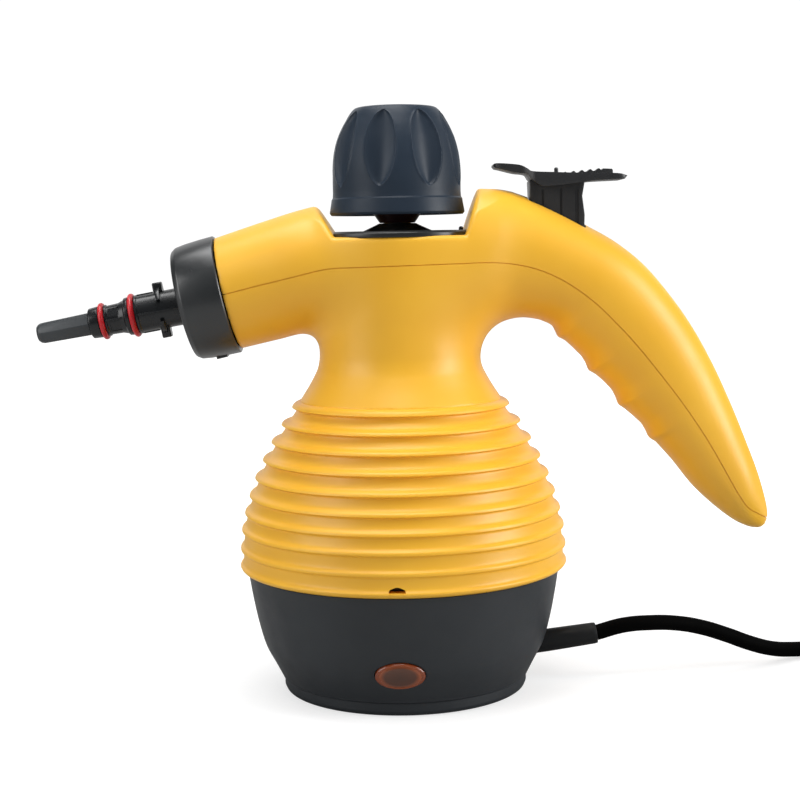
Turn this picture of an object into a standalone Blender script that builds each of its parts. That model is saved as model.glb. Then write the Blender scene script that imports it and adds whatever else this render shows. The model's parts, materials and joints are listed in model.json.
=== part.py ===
"""Handheld steam cleaner: a small boiler in a ribbed belly, a spout with a jet nozzle, a screw safety cap
and a thumb trigger. +Z is up, the nozzle points to -X and the handle to +X. The origin is on the belly's
axis at the level of the feet. Sizes below are millimetres, and MM turns them into Blender's metres."""

from math import cos, pi, radians, sin

import bmesh
import bpy
from mathutils import Matrix, Vector

MM = 0.001
GAP = 0.3  # between pieces that touch
WALL = 2.6  # of the yellow housing
MERGE = 0.001  # points nearer than this are one point
SHARP_ANGLE = radians(35)  # a steeper edge is shaded sharp

# Belly and neck, as (radius, height). Each rib is a round lip, and the wall steps in under it.
RIBS = [(71.0, 56.6), (70.6, 64.2), (69.9, 72.0), (68.3, 79.4), (66.1, 86.9), (63.4, 94.7), (60.0, 102.5),
        (56.0, 110.2), (51.7, 117.8), (47.0, 125.3)]
RIB_HALF = 1.0  # half the thickness of a rib's lip
RIB_STEP = 1.5  # how far the wall steps in under a rib
BELLY_FOOT = (69.4, 53.6)
BOLT_AT = 51.2  # of the boiler's four bolts, from the axis
FLARE = [(42.4, 129.6), (39.4, 134.4), (36.9, 139.4), (35.4, 145.0), (35.0, 151.0), (35.2, 170.0),
         (34.6, 190.0), (33.6, 200.5)]
BELLY_CAVITY = [(66.2, 50.0), (66.2, 61.0), (65.0, 71.0), (62.9, 80.0), (59.4, 90.0), (55.0, 100.0),
                (49.6, 110.0), (42.9, 121.0), (38.2, 129.5), (34.6, 136.0), (32.6, 144.0), (32.4, 185.0),
                (31.0, 195.8)]

# Recess around the cap, as (x, z): a floor between two leaning walls
DECK_Z = 198.7
RECESS = [(-26.6, DECK_Z), (28.6, DECK_Z), (35.4, 216.4), (38.0, 240.0), (-38.0, 240.0), (-34.9, 212.4)]
RECESS_WALL = [(-29.6, DECK_Z - WALL), (31.4, DECK_Z - WALL), (38.6, 217.0), (40.0, 240.0),
               (-41.0, 240.0), (-37.9, 212.4)]
NECK_HOLE_RADIUS = 13.5  # in the deck, around the filler neck
DECK_RADIUS = 32.4
DECK_SPAN = (-26.3, 28.3)  # x of the deck plate's straight sides
STUD_X = 26.8
STEM_SLOT = ((56.2, -8.9, 190.0), (82.6, 8.9, 225.0))  # lowest and highest corner

# Collar, spout and nozzle
COLLAR_AT = (-74.5, 0.0, 174.4)  # centre of the collar's rear edge
COLLAR_TILT = radians(12.5)
COLLAR_LENGTH = 19.3
COLLAR_RADIUS = 26.0
SPOUT_TOP = [(-79.9, 198.6), (-58.0, 205.6), (-40.0, 210.8), (-15.0, 216.0), (12.0, 219.0)]
SPOUT_BOTTOM = [(-69.3, 150.6), (-53.0, 154.2), (-39.0, 157.2), (-12.0, 160.0), (12.0, 161.0)]
SPOUT_HALF = [24.6, 26.6, 29.0, 31.0, 30.0]
SPIGOT_RADIUS = 22.6
NOZZLE_AT = (-92.6, 0.0, 170.0)
NOZZLE_TILT = radians(10.0)

# Handle, as (x, z) knots of its top edge and of its grip edge, with half its width at each pair
HANDLE_TOP = [(14.0, 214.0), (36.0, 216.9), (46.0, 217.1), (57.3, 213.7), (70.0, 207.8), (82.9, 200.9),
              (94.6, 194.0), (106.6, 184.2), (117.6, 171.3), (127.6, 157.0), (136.8, 140.3),
              (145.0, 122.2), (151.5, 106.0), (156.8, 92.0), (160.4, 79.6), (161.4, 72.6), (160.2, 68.6)]
HANDLE_GRIP = [(14.0, 161.0), (37.5, 156.4), (45.9, 160.6), (56.0, 161.7), (64.0, 159.6), (70.6, 153.2),
               (78.2, 144.2), (87.3, 134.2), (97.0, 122.3), (107.3, 110.7), (117.4, 99.2), (127.4, 87.3),
               (137.0, 78.0), (146.0, 71.0), (152.4, 67.8), (156.6, 67.0), (158.6, 67.3)]
HANDLE_HALF = [30.5, 28.5, 26.0, 23.5, 22.0, 21.0, 20.4, 20.0, 19.6, 19.0, 18.2, 17.0, 15.4, 13.2, 10.4,
               7.0, 3.0]
GRIP_BUMPS = (5.0, 10.0, 4, 1.2)  # first knot, last knot, how many bumps, their height
SEAM = [(-95.0, 170.6), (-74.5, 174.9), (-60.4, 178.2), (-42.9, 182.2), (-29.7, 185.0), (-16.6, 185.5),
        (22.6, 185.5), (42.2, 185.6), (57.5, 183.4), (70.5, 178.6), (87.9, 167.2), (105.3, 147.6),
        (122.9, 125.2), (136.1, 105.4), (147.2, 86.2), (153.9, 75.6), (160.6, 68.0), (168.0, 60.0)]

# Base
CUP_OUTER = [(52.6, 0.6), (53.6, 1.8), (53.9, 5.4), (57.9, 12.9), (61.8, 20.6), (64.6, 30.6),
             (66.9, 42.2), (68.6, 53.2)]
CUP_SPIGOT = [(65.6, 53.2), (65.6, 59.4), (63.4, 59.4)]
CUP_INNER = [(63.4, 50.0), (61.2, 32.0), (56.8, 16.6), (50.9, 5.4), (50.9, 0.6)]
DRIP_HOLE_AT = (-2.8, -75.0, 59.0)
DRIP_HOLE_RADIUS = 3.6
COVER_RADIUS = 50.5
BASE_SCREW_AT = 24.0  # from the axis
FOOT_RADIUS = 6.0
FOOT_AT = 30.0
LENS_AT = (-2.2, -61.2, 19.4)
LENS_HALF = (10.3, 6.1)
LENS_LEAN = radians(19.0)
GLAND_AT = (60.3, 0.0, 12.7)
GLAND_TILT = radians(17.3)
GLAND_LENGTH = 26.2

# Safety cap
CAP_OUTER = [(29.3, 207.9), (28.4, 213.6), (27.9, 216.4), (27.7, 226.0), (26.8, 234.4), (24.6, 242.2),
             (22.3, 247.3), (18.6, 251.9), (15.6, 252.9), (0.0, 253.3)]
CAP_INNER = [(0.0, 246.0), (17.0, 245.0), (22.4, 232.0), (22.9, 226.6), (9.4, 226.6), (9.4, 223.6),
             (23.6, 223.6), (26.6, 207.9)]
FLUTES = 8
FLUTE_Z = 235.0
FLUTE_HALF = (2.2, 6.6, 17.5)  # depth, width and height
FLUTE_AT = 27.2  # from the axis
FLUTE_LEAN = radians(-7)
FIRST_FLUTE = radians(-107)
FUNNEL = [(6.6, 204.4), (8.0, 204.4), (9.6, 203.6), (16.0, 201.9), (16.0, 201.5), (6.6, 201.5)]

# Trigger, as (x, z)
TRIGGER_TOP = [(41.4, 227.6), (42.8, 228.5), (50.8, 227.9), (53.9, 227.2), (56.1, 225.9), (58.3, 224.7),
               (67.2, 224.2), (80.5, 223.6), (93.8, 223.3), (98.6, 222.3)]
TRIGGER_UNDER = [(97.3, 220.8), (87.1, 220.5), (82.7, 220.2), (74.7, 219.2), (63.7, 218.3), (60.9, 219.0),
                 (57.5, 221.5), (55.7, 223.7), (50.8, 224.4), (45.0, 225.9), (42.4, 226.4)]
TRIGGER_HALF = 12.5
TONGUE_HALF = 9.6
TONGUE_END = 55.0
LOCK_AT = 72.0
LOCK_GROOVE_END = 97.0
LOCK_HALF = 3.0
STEM = [(57.0, 221.0), (58.1, 193.0), (80.9, 193.0), (81.4, 206.0), (80.4, 214.0), (81.8, 222.0)]
STEM_HALF = 8.0
VALVE_X = 69.0
TRIGGER_SPRING = (179.6, 198.4)
CAP_SPRING = (212.4, 223.2)
RELIEF_SPRING = (217.1, 226.5)

# Mains lead: the route of its free stretch and of its tail, then the coil between them
CORD_RADIUS = 3.5
CORD_ROUTE = [(85.5, 0.0, 20.6), (97.5, 0.5, 23.6), (109.8, 1.8, 24.2), (122.0, 4.0, 23.2),
              (133.8, 6.8, 20.4), (145.5, 10.0, 16.0), (157.0, 13.4, 11.0), (168.5, 18.9, 6.8),
              (180.5, 25.7, 4.4), (189.0, 29.5, 3.7), (196.5, 31.6, 3.6), (203.5, 32.7, 3.6),
              (208.5, 33.0, 3.6), (212.8, 33.0, 3.6)]
COIL_AT = (240.0, -16.0)
COIL_TURN = 49.0  # radius of its outermost turn
COIL_ACROSS = 4  # turns side by side
COIL_LAYERS = 2
TAIL_ROUTE = [(289.0, -43.6, 10.6), (289.0, -45.6, 10.6), (289.0, -49.5, 10.9), (289.0, -53.3, 11.6),
              (289.0, -57.2, 12.9), (289.0, -61.0, 14.7), (289.0, -64.8, 16.5), (289.0, -68.7, 17.8),
              (289.0, -72.5, 18.5), (289.0, -76.4, 18.8), (289.0, -80.0, 18.8)]
PLUG_RADIUS = 18.6
PIN_SPREAD = 9.5
PIN_ROOT = 34.0  # from the back of the plug


# Materials

def material(name, color, roughness, metallic=0.0, alpha=1.0):
    made = bpy.data.materials.get(name)
    if made is None:
        made = bpy.data.materials.new(name)
        made.use_nodes = True
        shader = made.node_tree.nodes["Principled BSDF"]
        shader.inputs["Base Color"].default_value = (*color, 1.0)
        shader.inputs["Roughness"].default_value = roughness
        shader.inputs["Metallic"].default_value = metallic
        shader.inputs["Alpha"].default_value = alpha
        made.diffuse_color = (*color, 1.0)
    return made


def yellow_plastic():
    return material("yellow_plastic", (0.85, 0.44, 0.06), 0.42)


def dark_plastic():
    return material("dark_plastic", (0.055, 0.065, 0.075), 0.5)


def black_plastic():
    return material("black_plastic", (0.018, 0.02, 0.022), 0.38)


def red_silicone():
    return material("red_silicone", (0.55, 0.02, 0.03), 0.45)


def maroon_silicone():
    return material("maroon_silicone", (0.07, 0.012, 0.014), 0.5)


def black_rubber():
    return material("black_rubber", (0.012, 0.012, 0.013), 0.65)


def amber_lens():
    return material("amber_lens", (0.36, 0.06, 0.015), 0.18, alpha=0.9)


def cast_aluminium():
    return material("cast_aluminium", (0.62, 0.63, 0.64), 0.45, 1.0)


def brass():
    return material("brass", (0.72, 0.52, 0.22), 0.32, 1.0)


def steel():
    return material("steel", (0.6, 0.6, 0.6), 0.3, 1.0)


# Mesh helpers: each works in millimetres and returns a bmesh

def lathe(profile, steps=24, ring=False):
    """Turn an (r, z) outline about Z. A ring's outline closes on itself, and any other ends on the axis."""
    bm = bmesh.new()
    verts = [bm.verts.new((r, 0.0, z)) for r, z in profile]
    ends = [(verts[-1], verts[0])] if ring else []
    edges = [bm.edges.new(pair) for pair in list(zip(verts, verts[1:])) + ends]
    bmesh.ops.spin(bm, geom=verts + edges, cent=(0, 0, 0), axis=(0, 0, 1), angle=2 * pi, steps=steps)
    bmesh.ops.remove_doubles(bm, verts=bm.verts, dist=MERGE)
    return bm


def rod(radius, low, high, steps=20):
    return lathe([(0, low), (radius, low), (radius, high), (0, high)], steps)


def washer(inner, outer, low, high, steps=24):
    return lathe([(inner, low), (outer, low), (outer, high), (inner, high)], steps, ring=True)


def prism(outline, low, high):
    """Extrude an (x, z) outline along Y."""
    bm = bmesh.new()
    face = bm.faces.new([bm.verts.new((x, low, z)) for x, z in outline])
    made = bmesh.ops.extrude_face_region(bm, geom=[face])
    verts = [v for v in made["geom"] if isinstance(v, bmesh.types.BMVert)]
    bmesh.ops.translate(bm, verts=verts, vec=(0, high - low, 0))
    return bm


def block(low, high):
    bm = bmesh.new()
    bmesh.ops.create_cube(bm, size=1.0)
    low, high = Vector(low), Vector(high)
    bmesh.ops.scale(bm, verts=bm.verts, vec=high - low)
    bmesh.ops.translate(bm, verts=bm.verts, vec=(low + high) / 2)
    return bm


def loft(rings):
    bm = bmesh.new()
    loops = [[bm.verts.new(point) for point in ring] for ring in rings]
    for first, second in zip(loops, loops[1:]):
        for i in range(len(first)):
            j = (i + 1) % len(first)
            bm.faces.new((first[i], first[j], second[j], second[i]))
    bm.faces.new(loops[0])
    bm.faces.new(loops[-1])
    return bm


def aimed(bm, at, direction):
    """Move a bmesh made about Z so that Z points along direction and its zero is at a point."""
    turn = Vector(direction).to_track_quat("Z", "Y").to_matrix().to_4x4()
    bmesh.ops.transform(bm, matrix=Matrix.Translation(at) @ turn, verts=bm.verts)
    return bm


def moved(bm, offset):
    bmesh.ops.translate(bm, verts=bm.verts, vec=offset)
    return bm


def joined(*parts):
    """Several closed shapes in one bmesh, for a cutter that cuts them all at once."""
    whole = bmesh.new()
    for part in parts:
        shape = bpy.data.meshes.new("part")
        bmesh.ops.recalc_face_normals(part, faces=part.faces)
        part.to_mesh(shape)
        part.free()
        whole.from_mesh(shape)
        bpy.data.meshes.remove(shape)
    return whole


def smooth_route(knots, spacing):
    """Points a given distance apart on a smooth curve through the knots."""
    dense = [curve_at(knots, i / 20) for i in range(20 * (len(knots) - 1) + 1)]
    lengths = [0.0]
    for a, b in zip(dense, dense[1:]):
        lengths.append(lengths[-1] + (b - a).length)
    count = max(2, round(lengths[-1] / spacing))
    points, k = [], 0
    for i in range(count + 1):
        wanted = lengths[-1] * i / count
        while k < len(lengths) - 2 and lengths[k + 1] < wanted:
            k += 1
        share = (wanted - lengths[k]) / (lengths[k + 1] - lengths[k])
        points.append(dense[k].lerp(dense[k + 1], min(1.0, share)))
    return points


def curve_at(knots, u):
    """A point of the Catmull-Rom curve through the knots, at knot number u."""
    i = min(int(u), len(knots) - 2)
    t = u - i
    b, c = Vector(knots[i]), Vector(knots[i + 1])
    a = Vector(knots[i - 1]) if i > 0 else 2 * b - c
    d = Vector(knots[i + 2]) if i + 2 < len(knots) else 2 * c - b
    bend = (2 * a - 5 * b + 4 * c - d) * t * t
    return 0.5 * (2 * b + (c - a) * t + bend + (3 * b - a - 3 * c + d) * t ** 3)


# Object helpers

def make(name, bm, finish, origin=(0, 0, 0)):
    """Turn a bmesh in millimetres into an object in metres whose origin is at a point."""
    bmesh.ops.translate(bm, verts=bm.verts, vec=-Vector(origin))
    bmesh.ops.scale(bm, verts=bm.verts, vec=(MM, MM, MM))
    bmesh.ops.recalc_face_normals(bm, faces=bm.faces)
    mesh = bpy.data.meshes.new(name)
    bm.to_mesh(mesh)
    bm.free()
    mesh.shade_smooth()
    mesh.set_sharp_from_angle(angle=SHARP_ANGLE)
    obj = bpy.data.objects.new(name, mesh)
    obj.location = Vector(origin) * MM
    bpy.context.scene.collection.objects.link(obj)
    if finish:
        mesh.materials.append(finish)
    return obj


def helper(name, bm):
    """A shape that only cuts or joins another one."""
    obj = make(name, bm, None)
    obj.hide_render = True
    obj.display_type = "WIRE"
    return obj


def boolean(obj, other, operation="DIFFERENCE"):
    modifier = obj.modifiers.new(f"{operation.lower()}_{other.name}", "BOOLEAN")
    modifier.operation = operation
    modifier.object = other
    modifier.solver = "EXACT"
    return obj


def pipe(name, points, radius, finish, sides=2):
    """A round bar along points, as a curve with filled caps."""
    curve = bpy.data.curves.new(name, "CURVE")
    curve.dimensions = "3D"
    curve.bevel_depth = radius * MM
    curve.bevel_resolution = sides
    curve.use_fill_caps = True
    spline = curve.splines.new("POLY")
    spline.points.add(len(points) - 1)
    for target, point in zip(spline.points, points):
        target.co = (*(Vector(point) * MM), 1.0)
    obj = bpy.data.objects.new(name, curve)
    curve.materials.append(finish)
    bpy.context.scene.collection.objects.link(obj)
    return obj


def spring(name, at, radius, wire, low, high, turns):
    per_turn = 8
    count = int(turns * per_turn)
    low, high = low + wire, high - wire
    points = []
    for i in range(count + 1):
        angle = 2 * pi * i / per_turn
        rise = low + (high - low) * i / count
        points.append((at[0] + radius * cos(angle), at[1] + radius * sin(angle), rise))
    return pipe(name, points, wire, steel(), 1)


def tilted(angle):
    """The way that the spout and the nozzle point."""
    return (-cos(angle), 0.0, -sin(angle))


# Housing

def section(top, grip, half, inset, count=16, power=2.2):
    """One closed cross-section between a point of the top edge and one of the bottom edge."""
    centre = Vector(((top[0] + grip[0]) / 2, 0.0, (top[1] + grip[1]) / 2))
    rise = Vector((top[0], 0.0, top[1])) - centre
    rise *= max(0.05, 1 - inset / rise.length)
    side = Vector((0.0, max(0.2, half - inset), 0.0))
    points = []
    for i in range(count):
        angle = 2 * pi * (i + 0.5) / count
        up, out = cos(angle), sin(angle)
        up = abs(up) ** (2 / power) * (1 if up > 0 else -1)
        out = abs(out) ** (2 / power) * (1 if out > 0 else -1)
        points.append(centre + rise * up + side * out)
    return points


def belly_profile():
    points = [(0.0, BELLY_FOOT[1]), BELLY_FOOT]
    for i, (r, z) in enumerate(RIBS):
        if i:
            points.append((r - RIB_STEP, z - RIB_HALF - 1.6))
        points.append((r, z - RIB_HALF / 2))
        points.append((r - 0.9, z + RIB_HALF + 0.2))
    return points + FLARE + [(0.0, FLARE[-1][1])]


def grip_length():
    """Length of the grip edge from its first bump's knot on, in steps of a twentieth of a knot."""
    first, last = GRIP_BUMPS[:2]
    steps = int((last - first) * 20)
    points = [curve_at(HANDLE_GRIP, first + i / 20) for i in range(steps + 1)]
    lengths = [0.0]
    for a, b in zip(points, points[1:]):
        lengths.append(lengths[-1] + (b - a).length)
    return lengths


def handle_section(u, inset):
    top, grip = curve_at(HANDLE_TOP, u), curve_at(HANDLE_GRIP, u)
    first, last, bumps, height = GRIP_BUMPS
    if first < u < last:
        lengths = grip_length()
        share = lengths[min(len(lengths) - 1, round((u - first) * 20))] / lengths[-1]
        grip += (grip - top).normalized() * height * (0.5 - 0.5 * cos(2 * pi * bumps * share))
    half = curve_at([(h, 0.0) for h in HANDLE_HALF], u)[0]
    return section(top, grip, half, inset)


def handle_form(inset, last, steps_per_knot):
    return loft([handle_section(i / steps_per_knot, inset) for i in range(int(last * steps_per_knot) + 1)])


def spout_form(inset):
    way = Vector(tilted(COLLAR_TILT))
    up = Vector((way.z, 0.0, -way.x))
    side = Vector((0.0, 1.0, 0.0))
    rings = []
    for along, radius in ((12.0, SPIGOT_RADIUS - inset), (0.0, SPIGOT_RADIUS - inset)):
        centre = Vector(COLLAR_AT) + way * (along if inset == 0 else along * 1.4)
        turns = [2 * pi * (i + 0.5) / 16 for i in range(16)]
        rings.append([centre + up * radius * cos(t) + side * radius * sin(t) for t in turns])
    for top, bottom, half in zip(SPOUT_TOP, SPOUT_BOTTOM, SPOUT_HALF):
        rings.append(section(top, bottom, half, inset, power=2.0 if half < 25 else 2.1))
    return loft(rings)


def housing_forms():
    """The whole housing as one solid, and the hollow inside it."""
    outer = helper("housing_form", lathe(belly_profile(), 26))
    boolean(outer, helper("spout_outer", spout_form(0.0)), "UNION")
    boolean(outer, helper("handle_outer", handle_form(0.0, 16, 2)), "UNION")
    boolean(outer, helper("recess", prism(RECESS, -45, 45)))
    bottom, top = BELLY_CAVITY[0][1], BELLY_CAVITY[-1][1]
    inner = helper("housing_hollow", lathe([(0.0, bottom)] + BELLY_CAVITY + [(0.0, top)], 26))
    boolean(inner, helper("spout_inner", spout_form(WALL)), "UNION")
    boolean(inner, helper("handle_inner", handle_form(WALL, 13, 1)), "UNION")
    boolean(inner, helper("recess_walls", prism(RECESS_WALL, -45.5, 45.5)))
    return outer, inner


def housing():
    outer, inner = housing_forms()
    above = [(x, z + GAP / 2) for x, z in SEAM] + [(168.0, 245.0), (-95.0, 245.0)]
    below = [(x, z - GAP / 2) for x, z in SEAM] + [(168.0, 45.0), (-95.0, 45.0)]
    upper = make("upper_shell", prism(above, -90, 90), yellow_plastic())
    lower = make("lower_shell", prism(below, -90, 90), yellow_plastic())
    for shell in (upper, lower):
        boolean(shell, outer, "INTERSECT")
        boolean(shell, inner)
    boolean(upper, helper("deck_hole", rod(NECK_HOLE_RADIUS, DECK_Z - 9.0, DECK_Z + 6.0)))
    boolean(upper, helper("stem_slot", block(*STEM_SLOT)))
    drip = aimed(rod(DRIP_HOLE_RADIUS, 0.0, 12.0, 16), DRIP_HOLE_AT, (0, 1, 0))
    boolean(lower, helper("drip_hole", drip))


# Base

def lens_way():
    """Out of the lens, square to the leaning wall."""
    return (0.0, -cos(LENS_LEAN), -sin(LENS_LEAN))


def oval(bm):
    """Stretch a lens shape turned at radius 1 to the lens's oval."""
    bmesh.ops.scale(bm, verts=bm.verts, vec=(LENS_HALF[0], LENS_HALF[1], 1.0))
    return bm


def base():
    cup = make("base_cup", lathe(CUP_OUTER + CUP_SPIGOT + CUP_INNER, 26, ring=True), dark_plastic())
    room = 1 + GAP / LENS_HALF[1]
    hole = aimed(oval(rod(room, -9.0, 6.0, 24)), LENS_AT, lens_way())
    boolean(cup, helper("lens_hole", hole))
    way = (cos(GLAND_TILT), 0.0, sin(GLAND_TILT))
    boolean(cup, helper("gland_hole", aimed(rod(5.2, -14.0, 6.0, 16), GLAND_AT, way)))
    boolean(cup, helper("gland_flange_seat", aimed(rod(6.2, -22.0, -7.0, 16), GLAND_AT, way)))
    cover = make("bottom_cover", rod(COVER_RADIUS, 1.2, 3.6, 28), dark_plastic())
    places = [(sx * FOOT_AT, sy * FOOT_AT) for sx in (-1, 1) for sy in (-1, 1)]
    pockets = joined(*[moved(rod(FOOT_RADIUS + GAP, 0.0, 2.7, 16), (x, y, 0.0)) for x, y in places])
    boolean(cover, helper("foot_pockets", pockets))
    turns = [radians(90 + 120 * i) for i in range(3)]
    screws = [(BASE_SCREW_AT * cos(t), BASE_SCREW_AT * sin(t)) for t in turns]
    holes = joined(*[moved(rod(2.0, 0.0, 5.0, 10), (x, y, 0.0)) for x, y in screws])
    boolean(cover, helper("screw_holes", holes))
    for number, (x, y) in enumerate(places, 1):
        make(f"foot_{number}", moved(rod(FOOT_RADIUS, 0.0, 2.4, 16), (x, y, 0.0)), black_rubber())
    for number, (x, y) in enumerate(screws, 1):
        head = [(0, 0.2), (3.4, 0.2), (3.4, 0.9), (1.5, 0.9), (1.5, 6.4), (0, 6.4)]
        make(f"base_screw_{number}", moved(lathe(head, 10), (x, y, 0.0)), steel())
    dome = [(0.0, 1.8), (0.45, 1.5), (0.8, 0.9), (1.0, 0.0), (1.0, -2.6), (0.0, -2.6)]
    make("indicator_lens", aimed(oval(lathe(dome, 24)), LENS_AT, lens_way()), amber_lens())
    bulb = lathe([(0, -7), (2.6, -7), (2.8, 4), (1.8, 6.4), (0, 7)], 12)
    make("indicator_lamp", aimed(bulb, (-2.2, -52.4, 22.5), (1, 0, 0)), amber_lens())


def gland():
    way = (cos(GLAND_TILT), 0.0, sin(GLAND_TILT))
    profile = [(0.0, -9.0), (5.8, -9.0), (5.8, -7.4), (4.9, -7.4), (4.9, 2.6), (5.9, 3.6), (5.6, 6.6),
               (4.5, GLAND_LENGTH), (0.0, GLAND_LENGTH)]
    make("cord_gland", aimed(lathe(profile, 18), GLAND_AT, way), black_rubber())


# Spout, nozzle and deck

def nozzle():
    way = tilted(COLLAR_TILT)
    profile = [(23.1, 0.4), (COLLAR_RADIUS, 0.0), (25.6, 12.0), (24.9, 17.6), (23.6, COLLAR_LENGTH),
               (10.0, COLLAR_LENGTH), (10.0, 16.6), (23.1, 16.6)]
    make("nozzle_collar", aimed(lathe(profile, 28, ring=True), COLLAR_AT, way), dark_plastic())
    way = tilted(NOZZLE_TILT)
    profile = [(0.0, -20.0), (3.4, -20.0), (3.4, -8.0), (7.0, -7.6), (7.6, 0.0), (8.2, 1.0), (8.2, 21.8),
               (7.0, 22.0), (7.0, 24.6), (8.0, 24.8), (7.6, 27.6), (6.3, 29.6), (6.2, 35.4), (5.6, 35.6),
               (5.6, 38.2), (6.6, 38.4), (6.4, 42.8), (0.0, 42.8)]
    tube = make("nozzle_tube", aimed(lathe(profile, 18), NOZZLE_AT, way), black_plastic())
    lugs = aimed(block((-4.0, -12.2, 8.8), (4.0, 12.2, 13.0)), NOZZLE_AT, way)
    boolean(tube, helper("bayonet_lugs", lugs), "UNION")
    for name, along, groove, thick in (("o_ring_rear", 23.3, 7.0, 1.0), ("o_ring_front", 36.9, 5.6, 0.9)):
        middle = groove + GAP + thick
        turns = [2 * pi * (i + 0.5) / 6 for i in range(6)]
        profile = [(middle + thick * cos(t), along + thick * sin(t)) for t in turns]
        make(name, aimed(lathe(profile, 18, ring=True), NOZZLE_AT, way), red_silicone())
    tip = loft([hexagon(5.2, 43.1), hexagon(4.8, 62.0), hexagon(4.0, 65.0), hexagon(2.9, 66.4)])
    make("jet_tip", aimed(tip, NOZZLE_AT, way), dark_plastic())


def hexagon(radius, along):
    return [(radius * cos(pi * i / 3), radius * sin(pi * i / 3), along) for i in range(6)]


def deck():
    """A plate around the filler neck, cut straight along the two walls of the recess, with a stud."""
    plate = [(11.0, DECK_Z + GAP), (DECK_RADIUS - 1.0, DECK_Z + GAP), (DECK_RADIUS, DECK_Z + 0.8),
             (DECK_RADIUS, DECK_Z + 2.0), (DECK_RADIUS - 0.8, DECK_Z + 2.5), (11.0, DECK_Z + 2.5)]
    made = make("deck_plate", lathe(plate, 40, ring=True), black_plastic())
    low, high = DECK_SPAN
    kept = block((low, -DECK_RADIUS - 1.0, DECK_Z), (high, DECK_RADIUS + 1.0, DECK_Z + 3.0))
    boolean(made, helper("deck_sides", kept), "INTERSECT")
    stud = moved(rod(1.1, DECK_Z + 1.0, DECK_Z + 4.6, 10), (STUD_X, 0.0, 0.0))
    boolean(made, helper("deck_stud", stud), "UNION")
    make("filler_funnel", lathe(FUNNEL, 20, ring=True), black_plastic())
    neck = [(6.5, 110.0), (10.5, 110.0), (10.5, 121.3), (13.0, 121.3), (13.0, 123.4), (10.5, 123.4),
            (10.5, 200.8), (6.5, 200.8)]
    make("filler_neck", lathe(neck, 16, ring=True), brass())


# Boiler and its electric parts

def boiler():
    lower = [(0.0, 14.2), (44.0, 14.2), (46.5, 16.8), (46.5, 58.4), (55.4, 58.4), (55.4, 61.4),
             (43.5, 61.4), (43.5, 18.6), (41.6, 17.2), (0.0, 17.2)]
    cup = make("boiler_lower", lathe(lower, 18), cast_aluminium())
    upper = [(43.5, 63.6), (55.4, 63.6), (55.4, 66.6), (46.5, 66.6), (45.0, 86.0), (38.5, 102.0),
             (29.0, 110.0), (14.6, 110.0), (14.6, 121.0), (10.8, 121.0), (10.8, 106.8), (27.0, 106.8),
             (36.0, 100.0), (42.0, 85.4)]
    dome = make("boiler_upper", lathe(upper, 18, ring=True), cast_aluminium())
    make("boiler_gasket", washer(44.0, 54.8, 61.7, 63.3, 20), red_silicone())
    turns = [radians(45 + 90 * i) for i in range(4)]
    places = [(BOLT_AT * cos(t), BOLT_AT * sin(t)) for t in turns]
    for part, cutter in ((cup, "lower"), (dome, "upper"), (bpy.data.objects["boiler_gasket"], "gasket")):
        holes = joined(*[moved(rod(1.9, 55.0, 70.0, 10), (x, y, 0.0)) for x, y in places])
        boolean(part, helper(f"bolt_holes_{cutter}", holes))
    for number, (x, y) in enumerate(places, 1):
        bolt = [(0, 56.0), (1.6, 56.0), (1.6, 66.9), (3.0, 66.9), (3.0, 69.6), (0, 69.6)]
        make(f"boiler_bolt_{number}", moved(lathe(bolt, 10), (x, y, 0.0)), steel())
    turns = [radians(25 + 310 * i / 20) for i in range(21)]
    loop = [(33.0 * cos(t), 33.0 * sin(t), 10.6) for t in turns]
    pipe("heater_element", loop, 3.2, steel(), 1)
    disc = [(0, 6.2), (5.0, 6.2), (5.0, 8.4), (8.0, 8.4), (8.0, 13.9), (0, 13.9)]
    make("thermostat", lathe(disc, 16), black_plastic())
    make("thermal_fuse", aimed(rod(2.0, -6.0, 6.0, 12), (-17.0, 0.0, 11.6), (0, 1, 0)), steel())
    make("terminal_block", block((38.6, -9.5, 4.2), (46.0, 9.5, 12.6)), black_plastic())
    wires = {"wire_live": [(38.2, -6.0, 8.4), (30.0, -5.0, 6.2), (18.0, -3.0, 6.0), (8.4, -1.0, 10.4)],
             "wire_neutral": [(38.2, 0.5, 8.4), (33.0, 5.0, 5.6), (27.0, 12.5, 5.2), (26.4, 20.5, 6.4)],
             "wire_earth": [(38.2, 6.0, 8.4), (35.0, 6.2, 9.2), (32.0, 6.0, 11.2), (31.4, 5.6, 13.2)]}
    for name, route in wires.items():
        pipe(name, smooth_route(route, 5.0), 0.8, black_rubber(), 1)


# Steam valve and its pipes

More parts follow.
